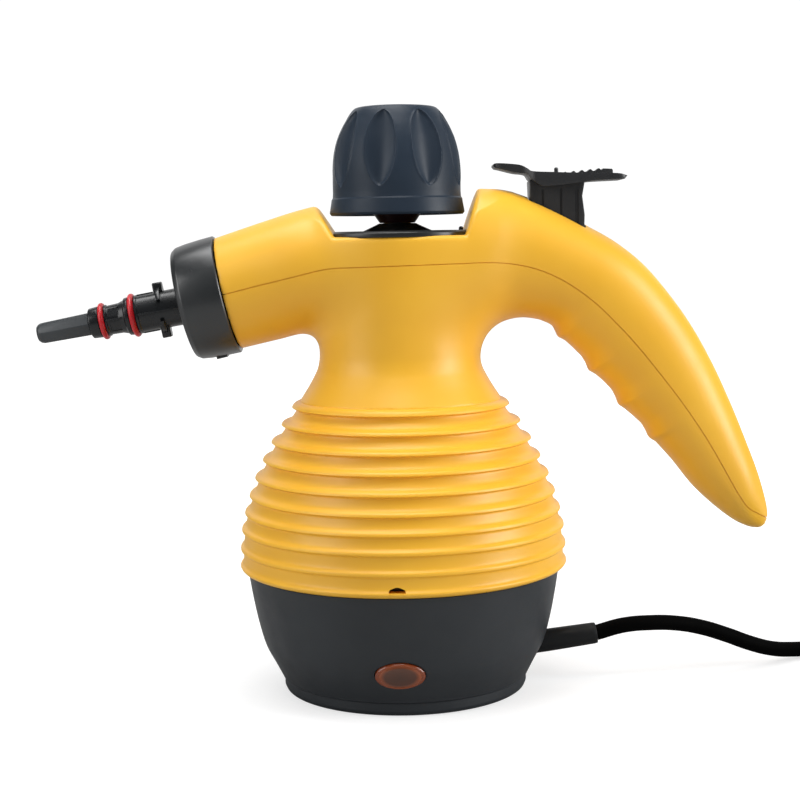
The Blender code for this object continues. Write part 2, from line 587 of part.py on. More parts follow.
def valve():
    body = [(0.0, 165.0), (7.0, 165.0), (7.6, 166.0), (7.6, 179.2), (3.9, 179.2), (3.9, 183.0),
            (2.5, 183.0), (2.5, 167.6), (0.0, 167.6)]
    make("valve_body", moved(lathe(body, 16), (VALVE_X, 0.0, 0.0)), brass())
    stem = [(0.0, 173.2), (2.1, 173.2), (2.1, 198.4), (0.0, 198.4)]
    make("valve_plunger", moved(lathe(stem, 12), (VALVE_X, 0.0, 0.0)), steel(), (VALVE_X, 0.0, 173.2))
    spring("trigger_spring", (VALVE_X, 0.0), 5.0, 0.55, *TRIGGER_SPRING, 4)
    rise = [(24.0, 0.0, 110.4), (24.0, 0.0, 132.0), (24.0, 0.0, 150.0), (29.0, 0.0, 163.0),
            (41.0, 0.0, 169.4), (61.0, 0.0, 169.8)]
    pipe("inlet_tube", smooth_route(rise, 10.0), 2.5, brass(), 1)
    cross = [(61.0, 0.0, 176.4), (45.0, 7.0, 177.4), (22.0, 17.5, 178.8), (0.0, 19.5, 180.0),
             (-22.0, 15.0, 179.0), (-44.0, 6.0, 177.0), (-60.0, 0.5, 175.4), (-72.4, 0.0, 173.6)]
    pipe("outlet_tube", smooth_route(cross, 12.0), 2.2, brass(), 1)


# Trigger

def trigger():
    at = (VALVE_X, 0.0, 222.0)
    outline = TRIGGER_TOP + TRIGGER_UNDER
    plate = make("trigger", prism(outline, -TRIGGER_HALF, TRIGGER_HALF), black_plastic(), at)
    boolean(plate, helper("trigger_stem", prism(STEM, -STEM_HALF, STEM_HALF)), "UNION")
    sides = [block((40.0, TONGUE_HALF, 221.0), (TONGUE_END, 20.0, 230.0)),
             block((40.0, -20.0, 221.0), (TONGUE_END, -TONGUE_HALF, 230.0))]
    boolean(plate, helper("tongue_sides", joined(*sides)))
    boolean(plate, helper("trigger_peg", moved(rod(0.8, 222.0, 226.6, 10), (69.2, 0.0, 0.0))), "UNION")
    boolean(plate, helper("spring_pocket", moved(rod(6.3, 190.0, 198.8, 16), (VALVE_X, 0.0, 0.0))))
    side = LOCK_HALF + GAP
    groove = block((LOCK_AT - GAP, -side, 222.3), (LOCK_GROOVE_END, side, 230.0))
    boolean(plate, helper("lock_groove", groove))
    make("trigger_lock", lock_form(), black_plastic(), (LOCK_AT, 0.0, 224.2))


def lock_form():
    """A thumb slide with five ridges that rise to a stop at its rear, and a foot that runs in the groove."""
    outline = [(LOCK_AT, 222.7), (93.4, 222.7), (93.4, 224.9), (93.0, 225.5), (89.2, 225.6),
               (88.6, 225.0)]
    for i in range(5):
        x, z = 87.3 - 3.6 * i, 226.0 - 0.32 * i
        outline += [(x + 0.8, z - 0.9), (x, z), (x - 0.8, z - 0.9)]
    return prism(outline + [(LOCK_AT, 223.9)], -LOCK_HALF, LOCK_HALF)


# Safety cap

def flute_cutter():
    """Leaf-shaped hollows pressed into the side of the cap."""
    shapes = []
    for i in range(FLUTES):
        turn = FIRST_FLUTE + 2 * pi * i / FLUTES
        leaf = bmesh.new()
        bmesh.ops.create_uvsphere(leaf, u_segments=8, v_segments=6, radius=1.0)
        bmesh.ops.scale(leaf, verts=leaf.verts, vec=FLUTE_HALF)
        lean = Matrix.Rotation(FLUTE_LEAN, 4, "Y")
        place = Matrix.Rotation(turn, 4, "Z") @ Matrix.Translation((FLUTE_AT, 0.0, FLUTE_Z)) @ lean
        bmesh.ops.transform(leaf, matrix=place, verts=leaf.verts)
        shapes.append(leaf)
    return joined(*shapes)


def cap():
    at = (0.0, 0.0, 208.0)
    shell = make("cap_shell", lathe(CAP_INNER + CAP_OUTER, 24), dark_plastic(), at)
    boolean(shell, helper("cap_flutes", flute_cutter()))
    core = [(6.1, 188.0), (6.1, 209.4), (12.5, 209.4), (12.5, 212.0), (8.9, 212.0), (8.9, 227.2),
            (8.1, 227.2), (8.1, 229.0), (8.9, 229.0), (8.9, 232.4), (4.5, 232.4), (4.5, 214.0),
            (2.0, 214.0), (2.0, 188.0)]
    make("cap_plug", lathe(core, 16, ring=True), black_plastic(), at)
    seal = [(6.5, 204.8), (7.9, 204.8), (8.4, 205.6), (10.3, 207.4), (10.3, 209.0), (6.5, 209.0)]
    make("cap_seal", lathe(seal, 18, ring=True), maroon_silicone(), at)
    make("cap_clip", washer(8.4, 12.0, 227.5, 228.6, 20), steel(), at)
    spring("cap_spring", (0.0, 0.0), 11.2, 0.6, *CAP_SPRING, 2.5)
    poppet = [(0, 214.4), (4.0, 214.4), (4.0, 216.8), (1.2, 216.8), (1.2, 227.4), (0, 227.4)]
    make("relief_poppet", lathe(poppet, 14), brass(), at)
    spring("relief_spring", (0.0, 0.0), 2.9, 0.4, *RELIEF_SPRING, 3.5)
    make("relief_screw", washer(1.6, 4.1, 226.9, 231.0, 14), brass(), at)


# Mains lead

def coil():
    """The turns of the coil as one ring, with a straight stub where the lead comes in and goes out."""
    x, y = COIL_AT
    outer = COIL_TURN + CORD_RADIUS
    inner = COIL_TURN - 2 * CORD_RADIUS * (COIL_ACROSS - 1) - CORD_RADIUS
    top = 2 * CORD_RADIUS * COIL_LAYERS + 0.1
    profile = [(inner, 2.0), (inner + 2.0, 0.1), (outer - 2.0, 0.1), (outer, 2.0), (outer, top - 2.0),
               (outer - 2.0, top), (inner + 2.0, top), (inner, top - 2.0)]
    ring = make("cord_coil", moved(lathe(profile, 28, ring=True), (x, y, 0.0)), black_rubber())
    came, went = CORD_ROUTE[-1], TAIL_ROUTE[0]
    stub_in = aimed(rod(CORD_RADIUS, GAP, x - came[0], 12), came, (1, 0, 0))
    stub_out = aimed(rod(CORD_RADIUS, GAP, y - went[1], 12), went, (0, 1, 0))
    boolean(ring, helper("cord_stub_in", stub_in), "UNION")
    boolean(ring, helper("cord_stub_out", stub_out), "UNION")


def plug():
    """A round plug whose pins point along -Y."""
    x, y, z = TAIL_ROUTE[-1]
    back = y - GAP
    forwards = (0, -1, 0)
    profile = [(0.0, 0.0), (4.6, 0.0), (6.4, 16.0), (10.0, 20.0), (16.6, 25.0), (PLUG_RADIUS, 29.0),
               (PLUG_RADIUS, 40.0), (17.4, 42.0), (0.0, 42.0)]
    body = make("plug", aimed(lathe(profile, 24), (x, back, z), forwards), black_rubber())
    sockets = []
    for side, name in ((-1, "left"), (1, "right")):
        at = (x + side * PIN_SPREAD, back - PIN_ROOT, z)
        sockets.append(aimed(rod(2.7, 0.0, 12.0, 12), at, forwards))
        pin = [(0.0, 0.4), (2.35, 0.4), (2.35, 26.0), (1.4, 27.0), (0.0, 27.0)]
        make(f"plug_pin_{name}", aimed(lathe(pin, 12), at, forwards), brass())
    boolean(body, helper("pin_sockets", joined(*sockets)))


def mains_lead():
    gland()
    pipe("power_cord", smooth_route(CORD_ROUTE, 8.0), CORD_RADIUS, black_rubber())
    coil()
    pipe("cord_tail", smooth_route(TAIL_ROUTE, 4.0), CORD_RADIUS, black_rubber())
    plug()


def main():
    for obj in list(bpy.data.objects):
        bpy.data.objects.remove(obj, do_unlink=True)
    housing()
    base()
    nozzle()
    deck()
    boiler()
    valve()
    trigger()
    cap()
    mains_lead()


main()
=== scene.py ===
"""Looks of the handheld steam cleaner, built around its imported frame.
Shapes are worked out in millimetres in the row frame, and MM turns them into Blender's metres."""

import json
from functools import cache
from math import cos, exp, pi, radians, sin

import bmesh
import bpy
import numpy as np
from mathutils import Matrix, Vector


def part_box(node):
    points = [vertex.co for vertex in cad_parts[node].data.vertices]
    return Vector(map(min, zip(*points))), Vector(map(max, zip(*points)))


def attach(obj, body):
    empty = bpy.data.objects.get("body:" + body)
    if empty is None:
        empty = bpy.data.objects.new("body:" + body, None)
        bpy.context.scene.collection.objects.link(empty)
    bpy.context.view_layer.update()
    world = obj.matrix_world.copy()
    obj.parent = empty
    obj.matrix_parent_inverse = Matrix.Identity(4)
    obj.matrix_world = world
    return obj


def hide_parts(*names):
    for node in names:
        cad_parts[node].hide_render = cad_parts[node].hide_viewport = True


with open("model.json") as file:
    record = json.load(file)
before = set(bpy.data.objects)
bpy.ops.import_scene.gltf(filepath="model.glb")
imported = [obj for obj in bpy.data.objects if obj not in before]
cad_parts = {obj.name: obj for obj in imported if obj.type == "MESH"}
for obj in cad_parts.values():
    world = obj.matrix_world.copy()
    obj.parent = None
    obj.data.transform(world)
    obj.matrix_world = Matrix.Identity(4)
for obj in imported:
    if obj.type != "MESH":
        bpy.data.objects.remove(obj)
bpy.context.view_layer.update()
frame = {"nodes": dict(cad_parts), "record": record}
MM = 0.001
SHARP_ANGLE = radians(38)  # a steeper edge is shaded sharp

# Housing, as (x, z) or (radius, height)
RIBS = [
    (71.9, 55.5), (71.6, 63.6), (70.9, 71.9), (69.3, 79.4), (67.1, 86.9), (64.4, 94.7), (60.8, 102.5),
    (56.8, 110.2), (52.2, 117.8), (47.4, 125.3)]
RIB_DEPTHS = [1.3, 1.4, 1.5, 1.7, 2.0, 2.4, 2.7, 2.8, 3.0, 3.1]  # from the lip in to the wall
RIB_HALF = 1.15  # half the thickness of a lip
BELLY_FOOT = (69.3, 53.6)
BELLY_CAVITY = [
    (66, 50), (66, 61), (64.8, 71), (62.7, 80), (59.2, 90), (54.8, 100), (49.4, 110), (42.7, 121),
    (38, 129.5), (34.4, 136)]
NECK = [
    (51, 118), (48.2, 122), (45, 126), (42.2, 130.2), (39.8, 134), (37.9, 137.4), (36.2, 140.9),
    (35.3, 144.6), (35, 148.5), (35, 158), (35.2, 170), (34.6, 190), (33.8, 202)]
NECK_BOTTOM = 126.4
NECK_TOP = 200.0
RECESS = [(-26.6, 198.2), (28.6, 198.2), (34.2, 216.4), (36, 250), (-42, 250), (-34.9, 212.4)]
SPOUT_TOP = [(-100, 192.1), (-79.9, 198.6), (-58, 205.6), (-40, 210.8), (-15, 216), (12, 219), (26, 212)]
SPOUT_BOTTOM = [(-90, 146), (-69.3, 150.6), (-53, 154.2), (-39, 157.2), (-12, 160), (12, 161), (26, 163)]
SPOUT_HALF = [23, 24.6, 26.6, 29, 29, 24, 18]  # half the width at each knot
SPOUT_POWER = 2.05  # how square the sections are: 2 is an ellipse
COLLAR_TILT = radians(12.5)
COLLAR_LENGTH = 19.3
HANDLE_TOP = [
    (-16, 208), (14, 214), (36, 216.9), (46, 217.1), (57.3, 213.7), (70, 207.8), (82.9, 200.9), (94.6, 194),
    (106.6, 184.2), (117.6, 171.3), (127.6, 157), (136.8, 140.3), (145, 122.2), (151.5, 106), (156.8, 92),
    (160.4, 79.6), (161.4, 72.6), (160.2, 68.6)]
HANDLE_GRIP = [
    (-16, 161), (14, 161.2), (37.5, 161.6), (46, 161.9), (56, 161.8), (64, 159.6), (70.6, 153.2),
    (78.2, 144.2), (87.3, 134.2), (97, 122.3), (107.3, 110.7), (117.4, 99.2), (127.4, 87.3), (137, 78),
    (146, 71), (152.4, 67.8), (156.6, 67), (158.6, 67.3)]
TOOTH_START = 70.3  # x of the first finger ridge
TOOTH_PITCH = 20.1
TOOTH_HEIGHTS = [1.0, 0.85, 0.65, 0.55]
TOOTH = [(0.16, -0.25), (0.4, -0.9), (0.66, -1.3), (0.85, -0.5)]  # share of the pitch, and rise
HANDLE_HALF = [18, 25.5, 28, 26, 23.5, 22, 21, 20.4, 20, 19.6, 19, 18.2, 17, 15.4, 13.2, 10.4, 7, 3]
HANDLE_POWER = 2.2
SPOUT_BLEND = 10.0  # how far the neck and the spout melt into each other
HANDLE_BLEND = 20.0
RECESS_BLEND = 2.4
SEAM = [
    (-95, 170.6), (-74.5, 174.9), (-60.4, 178.2), (-42.9, 182.2), (-29.7, 185), (-16.6, 185.5),
    (22.6, 186.3), (42.2, 186.3), (57.5, 183.6), (70.5, 177.8), (81.9, 169.7), (90.3, 161.8),
    (100.9, 150.3), (113.6, 134.4), (122.2, 122.8), (131.4, 109), (138.6, 96.7), (143.6, 87.9),
    (147.2, 82.1), (150.8, 77.6), (155.1, 74.8), (162, 71), (168, 68)]
SEAM_GAP = 0.36  # width of the groove
SEAM_DEPTH = 0.6
WALL = 2.6
NECK_HOLE = 13.5  # radius of the hole in the recess's floor
STEM_SLOT = ((56.2, -8.9), (81.1, 8.9))  # lowest and highest corner
DRIP_HOLE = (3.6, 2.1)  # half its width, and its height
DRIP_HOLE_RISE = 2.4  # above the belly's foot
DRIP_HOLE_X = -2.8
DECK_RADIUS = 35.0
DECK_BORE = 10.4
GRID = 0.8  # spacing of the field that the housing's surface is drawn from
GRID_LOW = (-84, -48, 62.4)
GRID_HIGH = (164, 48, 220.8)

# Base
CUP_WALL = [(54.6, 6.4), (57.9, 12.9), (61.8, 20.6), (64.6, 30.6), (66.9, 42.2), (68.6, 53.2)]
LENS_AT = (-2.2, -61.2, 19.4)
LENS_HALF = (10.3, 6.1)
LENS_LEAN = radians(19.0)
BOTTOM_BORE = 50.9  # of the base, where the bottom cover sits

# Nozzle and cap
COLLAR_MOUNT_RISE = 17.0  # of the seat mount above the collar's axis
O_RING_REAR = 23.3  # from the nozzle's zero
JET_RADIUS = 5.6
JET_ENDS = ((43.1, 0.9996), (68.0, 0.9))  # along the axis, and the share of the radius left there
CAP_SKIRT = 29.3
CAP_STEPS = 640  # points around the cap
FLUTES = 8
FIRST_FLUTE = radians(-105)
FLUTE_Z = 235.4
FLUTE_HALF = (7, 16)  # half its width and height
FLUTE_DEPTH = 2.9
FLUTE_RIM = 0.22
FLUTE_RIM_HALF = 0.55
FLANK_STEPS = 14  # rows of points between two knots of the cap's flank
SEAL_BORE = 6.5

# Trigger, as (x, z)
TRIGGER_TOP = [
    (41.4, 227.6), (42.8, 228.5), (50.8, 227.9), (53.9, 227.2), (56.1, 225.9), (58.3, 224.7), (67.2, 224.2),
    (80.5, 223.6), (93.8, 223.3), (98.6, 222.3)]
TRIGGER_UNDER = [
    (97.3, 220.8), (87.1, 220.5), (82.7, 220.2), (74.7, 219.2), (63.7, 218.3), (60.9, 219), (57.5, 221.5),
    (55.7, 223.7), (50.8, 224.4), (45, 225.9), (42.4, 226.4)]
TONGUE_HALF = 9.6
DISH_AT = (49.6, 0, 230.2)  # middle of the ball that the thumb's dish is cut with
DISH_HALF = (6.6, 7.4, 2.8)
SPRING_AXIS = 69.0  # x of the pocket under the stem that the valve's spring pushes in
STEM = [(57, 221), (58.1, 193), (80.2, 193), (80.6, 206), (79.6, 214), (81, 222)]

# Mains lead: the same route as the frame's cord solids
CORD_DIAMETER = 6.9
CORD_RADIUS = 3.5  # of the frame's cord solids
CORD_ROUTE = [
    (85.5, 0, 20.6), (97.5, 0.5, 23.6), (109.8, 1.8, 24.2), (122, 4, 23.2), (133.8, 6.8, 20.4),
    (145.5, 10, 16), (157, 13.4, 11), (168.5, 18.9, 6.8), (180.5, 25.7, 4.4), (189, 29.5, 3.7),
    (196.5, 31.6, 3.6), (203.5, 32.7, 3.6), (208.5, 33, 3.6), (212.8, 33, 3.6), (226, 33, 3.6)]
TAIL_ROUTE = [
    (289, -30, 10.6), (289, -43.6, 10.6), (289, -49.5, 10.9), (289, -57.2, 12.9), (289, -64.8, 16.5),
    (289, -72.5, 18.5), (289, -81.7, 18.8)]
FORWARDS = (0, -1, 0)  # the way that the plug's pins point
COIL_TURNS = 7.25
COIL_STEPS = 16  # points in a turn
COIL_PITCH = 7.0
COIL_RADIUS = 49.0
GLAND_AT = (59.6, 0.0, 17.1)
GLAND_TILT = radians(7.7)
GLAND_LENGTH = 26.1
GLAND_HOLE = 5.2  # radius of its hole in the base
GLAND_SEAT = 6.2  # radius of the room for its collar inside
PLUG_RIBS = 5
PLUG_GRIPS = 28
TIE_HALF = 5.0

# Camera, in Blender's own units
CAMERA_AT = (-0.00026, -0.691, 0.19797)
CAMERA_DROP = radians(5.9)  # how far it looks down
CAMERA_ROLL = radians(1.05)
CAMERA_LENS = 71.1
CAMERA_SENSOR = 36.0
WHITE = (1.0, 1.0, 1.0, 1.0)


# Helpers: shapes are vertices and faces in millimetres

def mm(vector):
    return Vector(vector) / MM


def mount(name):
    return next(m for m in frame["record"]["mounts"] if m["name"] == name)


def box(node):
    """The lowest and the highest corner of a frame node."""
    return [mm(corner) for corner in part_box(node)]


def middle(node):
    low, high = box(node)
    return (low + high) / 2


def spline(knots, numbers):
    """Points of the smooth curve through the knots, at an array of knot numbers."""
    knots = np.asarray(knots, float)
    padded = np.concatenate([[2 * knots[0] - knots[1]], knots, [2 * knots[-1] - knots[-2]]])
    first = np.clip(numbers.astype(int), 0, len(knots) - 2)
    t = (numbers - first).reshape(-1, *[1] * (knots.ndim - 1))
    a, b, c, d = (padded[first + k] for k in range(4))
    bend = 2 * a - 5 * b + 4 * c - d
    twist = 3 * b - a - 3 * c + d
    return 0.5 * (2 * b + (c - a) * t + bend * t ** 2 + twist * t ** 3)


def smooth(knots, per_knot=8):
    return spline(knots, np.linspace(0, len(knots) - 1, (len(knots) - 1) * per_knot + 1))


def rounded(points, closed=False, steps=5):
    """An outline whose corners are arcs: a point is (x, z), or (x, z, radius)."""
    made = []
    count = len(points)
    for i, point in enumerate(points):
        here = np.array(point[:2], float)
        radius = point[2] if len(point) > 2 else 0
        if not radius or (not closed and i in (0, count - 1)):
            made.append(tuple(here))
            continue
        before = np.array(points[i - 1][:2], float) - here
        after = np.array(points[(i + 1) % count][:2], float) - here
        back, on = np.hypot(*before), np.hypot(*after)
        angle = np.arccos(np.clip(before @ after / back / on, -1, 1))
        reach = min(back * 0.48, on * 0.48, radius / np.tan(angle / 2))
        start = here + before / back * reach
        end = here + after / on * reach
        for t in np.linspace(0, 1, steps + 1):
            made.append(tuple(start * (1 - t) ** 2 + here * 2 * t * (1 - t) + end * t * t))
    return made


def lathe(profile, steps=160, ring=False):
    """An (r, z) outline turned about Z. A ring's outline closes on itself."""
    verts, rows = [], []
    for r, z in profile:
        if r < 1e-6:
            rows.append([len(verts)] * steps)
            verts.append((0.0, 0.0, z))
        else:
            rows.append(range(len(verts), len(verts) + steps))
            verts += [(r * cos(2 * pi * i / steps), r * sin(2 * pi * i / steps), z) for i in range(steps)]
    faces = []
    for low, high in list(zip(rows, rows[1:])) + ([(rows[-1], rows[0])] if ring else []):
        for i in range(steps):
            j = (i + 1) % steps
            face = list(dict.fromkeys((low[i], low[j], high[j], high[i])))
            if len(face) > 2:
                faces.append(face)
    return np.array(verts), faces


def loft(rings):
    """A closed skin over rings that have the same number of points."""
    count = len(rings[0])
    verts = np.concatenate([np.asarray(ring, float) for ring in rings])
    faces = [list(range(count)), list(range(len(verts) - count, len(verts)))]
    for k in range(len(rings) - 1):
        for i in range(count):
            j = (i + 1) % count
            faces.append([k * count + i, k * count + j, (k + 1) * count + j, (k + 1) * count + i])
    return verts, faces


def prism(outline, low, high):
    """An (x, z) outline pulled along Y."""
    return loft([[(x, y, z) for x, z in outline] for y in (low, high)])


def column(outline, low, high):
    """An (x, y) outline pulled along Z."""
    return loft([[(x, y, z) for x, y in outline] for z in (low, high)])


def rod(radius, low, high, steps):
    """A round bar about Z."""
    return lathe([(0, low), (radius, low), (radius, high), (0, high)], steps)


def block(low, high):
    """A box between two corners."""
    (a, b, c), (d, e, f) = low, high
    return prism([(a, c), (d, c), (d, f), (a, f)], b, e)


def joined(*shapes):
    """Several shapes as one."""
    verts, faces, count = [], [], 0
    for points, sides in shapes:
        verts.append(np.asarray(points, float))
        faces += [[v + count for v in side] for side in sides]
        count += len(points)
    return np.concatenate(verts), faces


def aimed(shape, at, direction):
    """Move a shape made about Z so that Z points along direction and its zero is at a point."""
    turn = np.array(Vector(direction).to_track_quat("Z", "Y").to_matrix())
    return shape[0] @ turn.T + np.array(at), shape[1]


def moved(shape, offset):
    """A shape shifted by an offset."""
    return shape[0] + np.array(offset, float), shape[1]


def placed(name, data):
    """A new object in the scene."""
    obj = bpy.data.objects.new(name, data)
    bpy.context.scene.collection.objects.link(obj)
    return obj


def solid(name, shape):
    """An object in metres from a shape in millimetres, its faces looking outwards."""
    mesh = bpy.data.meshes.new(name)
    mesh.from_pydata((np.asarray(shape[0]) * MM).tolist(), [], [list(map(int, f)) for f in shape[1]])
    bm = bmesh.new()
    bm.from_mesh(mesh)
    bmesh.ops.recalc_face_normals(bm, faces=bm.faces)
    bm.to_mesh(mesh)
    bm.free()
    return placed(name, mesh)


def keep(obj):
    """Make the result of an object's modifiers its mesh."""
    graph = bpy.context.evaluated_depsgraph_get()
    mesh = bpy.data.meshes.new_from_object(obj.evaluated_get(graph))
    obj.modifiers.clear()
    old, obj.data = obj.data, mesh
    bpy.data.meshes.remove(old)
    return obj


def boolean(obj, other, operation="DIFFERENCE", solver="MANIFOLD"):
    """Cut an object with another or with a shape, or join or cross them, and remove the other."""
    if not isinstance(other, bpy.types.Object):
        other = solid("other", other)
    modifier = obj.modifiers.new("boolean", "BOOLEAN")
    modifier.operation = operation
    modifier.solver = solver
    modifier.object = other
    keep(obj)
    bpy.data.objects.remove(other)
    return obj


def bevel(obj, width, segments=3, angle=30):
    """Round the edges that turn by more than an angle in degrees."""
    modifier = obj.modifiers.new("bevel", "BEVEL")
    modifier.width = width * MM
    modifier.segments = segments
    modifier.limit_method = "ANGLE"
    modifier.angle_limit = radians(angle)
    return keep(obj)


def dress(obj, finish, slot, *nodes, body="root"):
    """Give a piece its finish and its body, and let it stand for frame nodes."""
    obj.data.materials.clear()
    obj.data.materials.append(finish)
    if obj.type == "MESH":
        obj.data.shade_smooth()
        obj.data.set_sharp_from_angle(angle=SHARP_ANGLE)
    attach(obj, body)
    if nodes:
        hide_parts(*nodes)
    return obj


# Finishes

def srgb(*color):
    return [((c / 255 + 0.055) / 1.055) ** 2.4 if c > 10 else c / 255 / 12.92 for c in color] + [1.0]


def wired(tree, node, inputs):
    """Fill a node's inputs: an output is linked, and anything else is set."""
    for name, value in inputs.items():
        if isinstance(value, bpy.types.NodeSocket):
            tree.links.new(value, node.inputs[name])
        else:
            node.inputs[name].default_value = value
    return node


def added(tree, kind, **inputs):
    """A new shader node. An underscore in an input's name stands for a space."""
    named = {name.replace("_", " "): value for name, value in inputs.items()}
    return wired(tree, tree.nodes.new("ShaderNode" + kind), named)


def shader(name, roughness, metallic=0.0):
    made = bpy.data.materials.new(name)
    made.use_nodes = True
    tree = made.node_tree
    main = tree.nodes["Principled BSDF"]
    return made, tree, wired(tree, main, {"Roughness": roughness, "Metallic": metallic})


def place(tree):
    """Places on the object, in metres."""
    return added(tree, "TexCoord").outputs["Object"]


def length(tree, vector):
    """How long a vector is."""
    measure = added(tree, "VectorMath", Vector=vector)
    measure.operation = "LENGTH"
    return measure.outputs["Value"]


def noise(tree, scale, detail, stretch=(1, 1, 1)):
    """A noise whose scale counts its features in a metre."""
    vector = added(tree, "Mapping", Vector=place(tree), Scale=stretch).outputs["Vector"]
    return added(tree, "TexNoise", Vector=vector, Scale=scale, Detail=detail).outputs["Fac"]


def shade(tree, main, factor, *tints):
    """Colour by a factor. A tint is a position and its levels of red, green and blue."""
    ramp = added(tree, "ValToRGB", Fac=factor)
    for position, _ in tints[1:-1]:
        ramp.color_ramp.elements.new(position)
    for element, (position, levels) in zip(ramp.color_ramp.elements, tints):
        element.position = position
        element.color = srgb(*levels)
    wired(tree, main, {"Base Color": ramp.outputs["Color"]})


def gloss(tree, main, factor, low, high):
    """Roughness between two values."""
    spread = added(tree, "MapRange", Value=factor, From_Min=0.3, From_Max=0.7, To_Min=low, To_Max=high)
    wired(tree, main, {"Roughness": spread.outputs["Result"]})


def relief(tree, main, height, depth):
    """Bumps of a depth in millimetres."""
    bump = added(tree, "Bump", Strength=1.0, Distance=depth * MM, Height=height)
    wired(tree, main, {"Normal": bump.outputs["Normal"]})


@cache
def moulded(name, dark, light, rough, grain=1400, depth=0.012, specular=0.5):
    """Moulded plastic or rubber: a faint cloudiness, a fine grain and uneven gloss."""
    made, tree, main = shader(name, rough[0])
    shade(tree, main, noise(tree, 28, 3), (0.3, dark), (0.7, light))
    gloss(tree, main, noise(tree, 90, 4), *rough)
    relief(tree, main, noise(tree, grain, 3), depth)
    wired(tree, main, {"Specular IOR Level": specular})
    return made


def yellow_plastic():
    return moulded("yellow_housing", (242, 181, 47), (246, 188, 55), (0.36, 0.44), 1100, 0.006)


def dark_plastic():
    return moulded("dark_base", (36, 40, 44), (42, 46, 50), (0.42, 0.52), 1500, 0.02, 0.4)


def cap_plastic():
    return moulded("dark_cap", (35, 45, 57), (41, 52, 65), (0.38, 0.48), 1300, 0.012, 0.23)


def collar_plastic():
    return moulded("dark_collar", (28, 31, 33), (35, 38, 40), (0.27, 0.34), 1500, 0.02, 0.8)


def trigger_plastic():
    return moulded("black_trigger", (32, 33, 35), (42, 43, 45), (0.34, 0.46), 1200, 0.02)


def gloss_plastic():
    return moulded("black_nozzle", (17, 19, 21), (24, 27, 30), (0.2, 0.3), 800, 0.006)


def deck_plastic():
    return moulded("black_deck", (26, 27, 28), (34, 35, 36), (0.28, 0.38), 900, 0.01)


def tip_plastic():
    return moulded("dark_tip", (44, 48, 51), (58, 62, 65), (0.36, 0.5), 700, 0.03)


def red_silicone():
    return moulded("red_seal", (186, 22, 32), (206, 32, 42), (0.3, 0.42), 1600, 0.01)


def maroon_silicone():
    return moulded("maroon_seal", (34, 12, 18), (48, 18, 24), (0.34, 0.44), 1600, 0.01)


def rubber():
    return moulded("black_rubber", (13, 15, 17), (19, 21, 23), (0.5, 0.64), 1600, 0.02, 0.3)


def cord_sheath():
    return moulded("cord_sheath", (1, 1, 1), (3, 3, 3), (0.7, 0.8), 900, 0.01, 0.04)


@cache
def amber_lens():
    """Amber, with painted shade darkening the middle, where the lamp sits unlit behind it, and painted light
    in a lighter band near the rim.
    """
    made, tree, main = shader("amber_lens", 0.2)
    oval_scale = (LENS_HALF[0] * MM, 1.0, LENS_HALF[1] * MM)
    mapping = added(tree, "Mapping", Vector=place(tree), Location=Vector(LENS_AT) * MM, Scale=oval_scale)
    mapping.vector_type = "TEXTURE"
    # painted shade in the middle and a painted light band near the rim, by distance from the lens's middle
    shade(tree, main, length(tree, mapping.outputs["Vector"]), (0.0, (74, 44, 30)), (0.62, (84, 46, 28)),
          (0.82, (150, 74, 36)), (1.0, (118, 50, 22)))
    relief(tree, main, noise(tree, 500, 2), 0.01)
    gloss(tree, main, noise(tree, 200, 2), 0.16, 0.26)
    wired(tree, main, {"Coat Weight": 0.3, "Coat Roughness": 0.1})
    return made


@cache
def metal(name, dark, light, rough):
    """Metal with a grain drawn out along Z."""
    made, tree, main = shader(name, rough[0], 1.0)
    shade(tree, main, noise(tree, 120, 3), (0.3, dark), (0.7, light))
    gloss(tree, main, noise(tree, 400, 3), *rough)
    relief(tree, main, noise(tree, 600, 2, (1, 1, 6)), 0.008)
    return made


def inner_finishes():
    """Finishes of the frame's own pieces that stay as they are, by material slot."""
    return {"aluminium": metal("cast_aluminium", (170, 172, 174), (198, 200, 202), (0.42, 0.6)),
            "brass": metal("turned_brass", (186, 150, 84), (210, 176, 110), (0.26, 0.4)),
            "steel": metal("bright_steel", (176, 178, 180), (206, 208, 210), (0.22, 0.36)),
            "black_trim": gloss_plastic(), "black_rubber": rubber(), "dark_housing": dark_plastic(),
            "red_seal": red_silicone(), "amber_lens": amber_lens()}


# Camera, light and floor

def camera():
    optics = bpy.data.cameras.new("camera")
    optics.lens = CAMERA_LENS
    optics.sensor_width = CAMERA_SENSOR
    obj = placed("camera", optics)
    turn = Matrix.Rotation(pi / 2 - CAMERA_DROP, 4, "X") @ Matrix.Rotation(-CAMERA_ROLL, 4, "Z")
    obj.matrix_world = Matrix.Translation(CAMERA_AT) @ turn
    bpy.context.scene.camera = obj


def lamp(name, at, target, size, power):
    """A softbox at a place, turned to a target; metres and watts."""
    light = bpy.data.lights.new(name, "AREA")
    light.shape = "RECTANGLE"
    light.size, light.size_y = size
    light.energy = power
    obj = placed(name, light)
    obj.location = at
    obj.rotation_euler = (Vector(target) - Vector(at)).to_track_quat("-Z", "Y").to_euler()


def camera_only(tree, seen, unseen):
    """One value for what the camera sees directly, and another for the light that it gives."""
    ray = added(tree, "LightPath").outputs["Is Camera Ray"]
    return added(tree, "MapRange", Value=ray, To_Min=unseen, To_Max=seen).outputs["Result"]


def paleness(tree):
    """The floor's own brightness, which rises with the distance from the object."""
    away = length(tree, place(tree))
    rise = added(tree, "MapRange", Value=away, From_Min=0.15, From_Max=0.7, To_Min=0.66, To_Max=1.05)
    rise.interpolation_type = "SMOOTHSTEP"
    return rise.outputs["Result"]


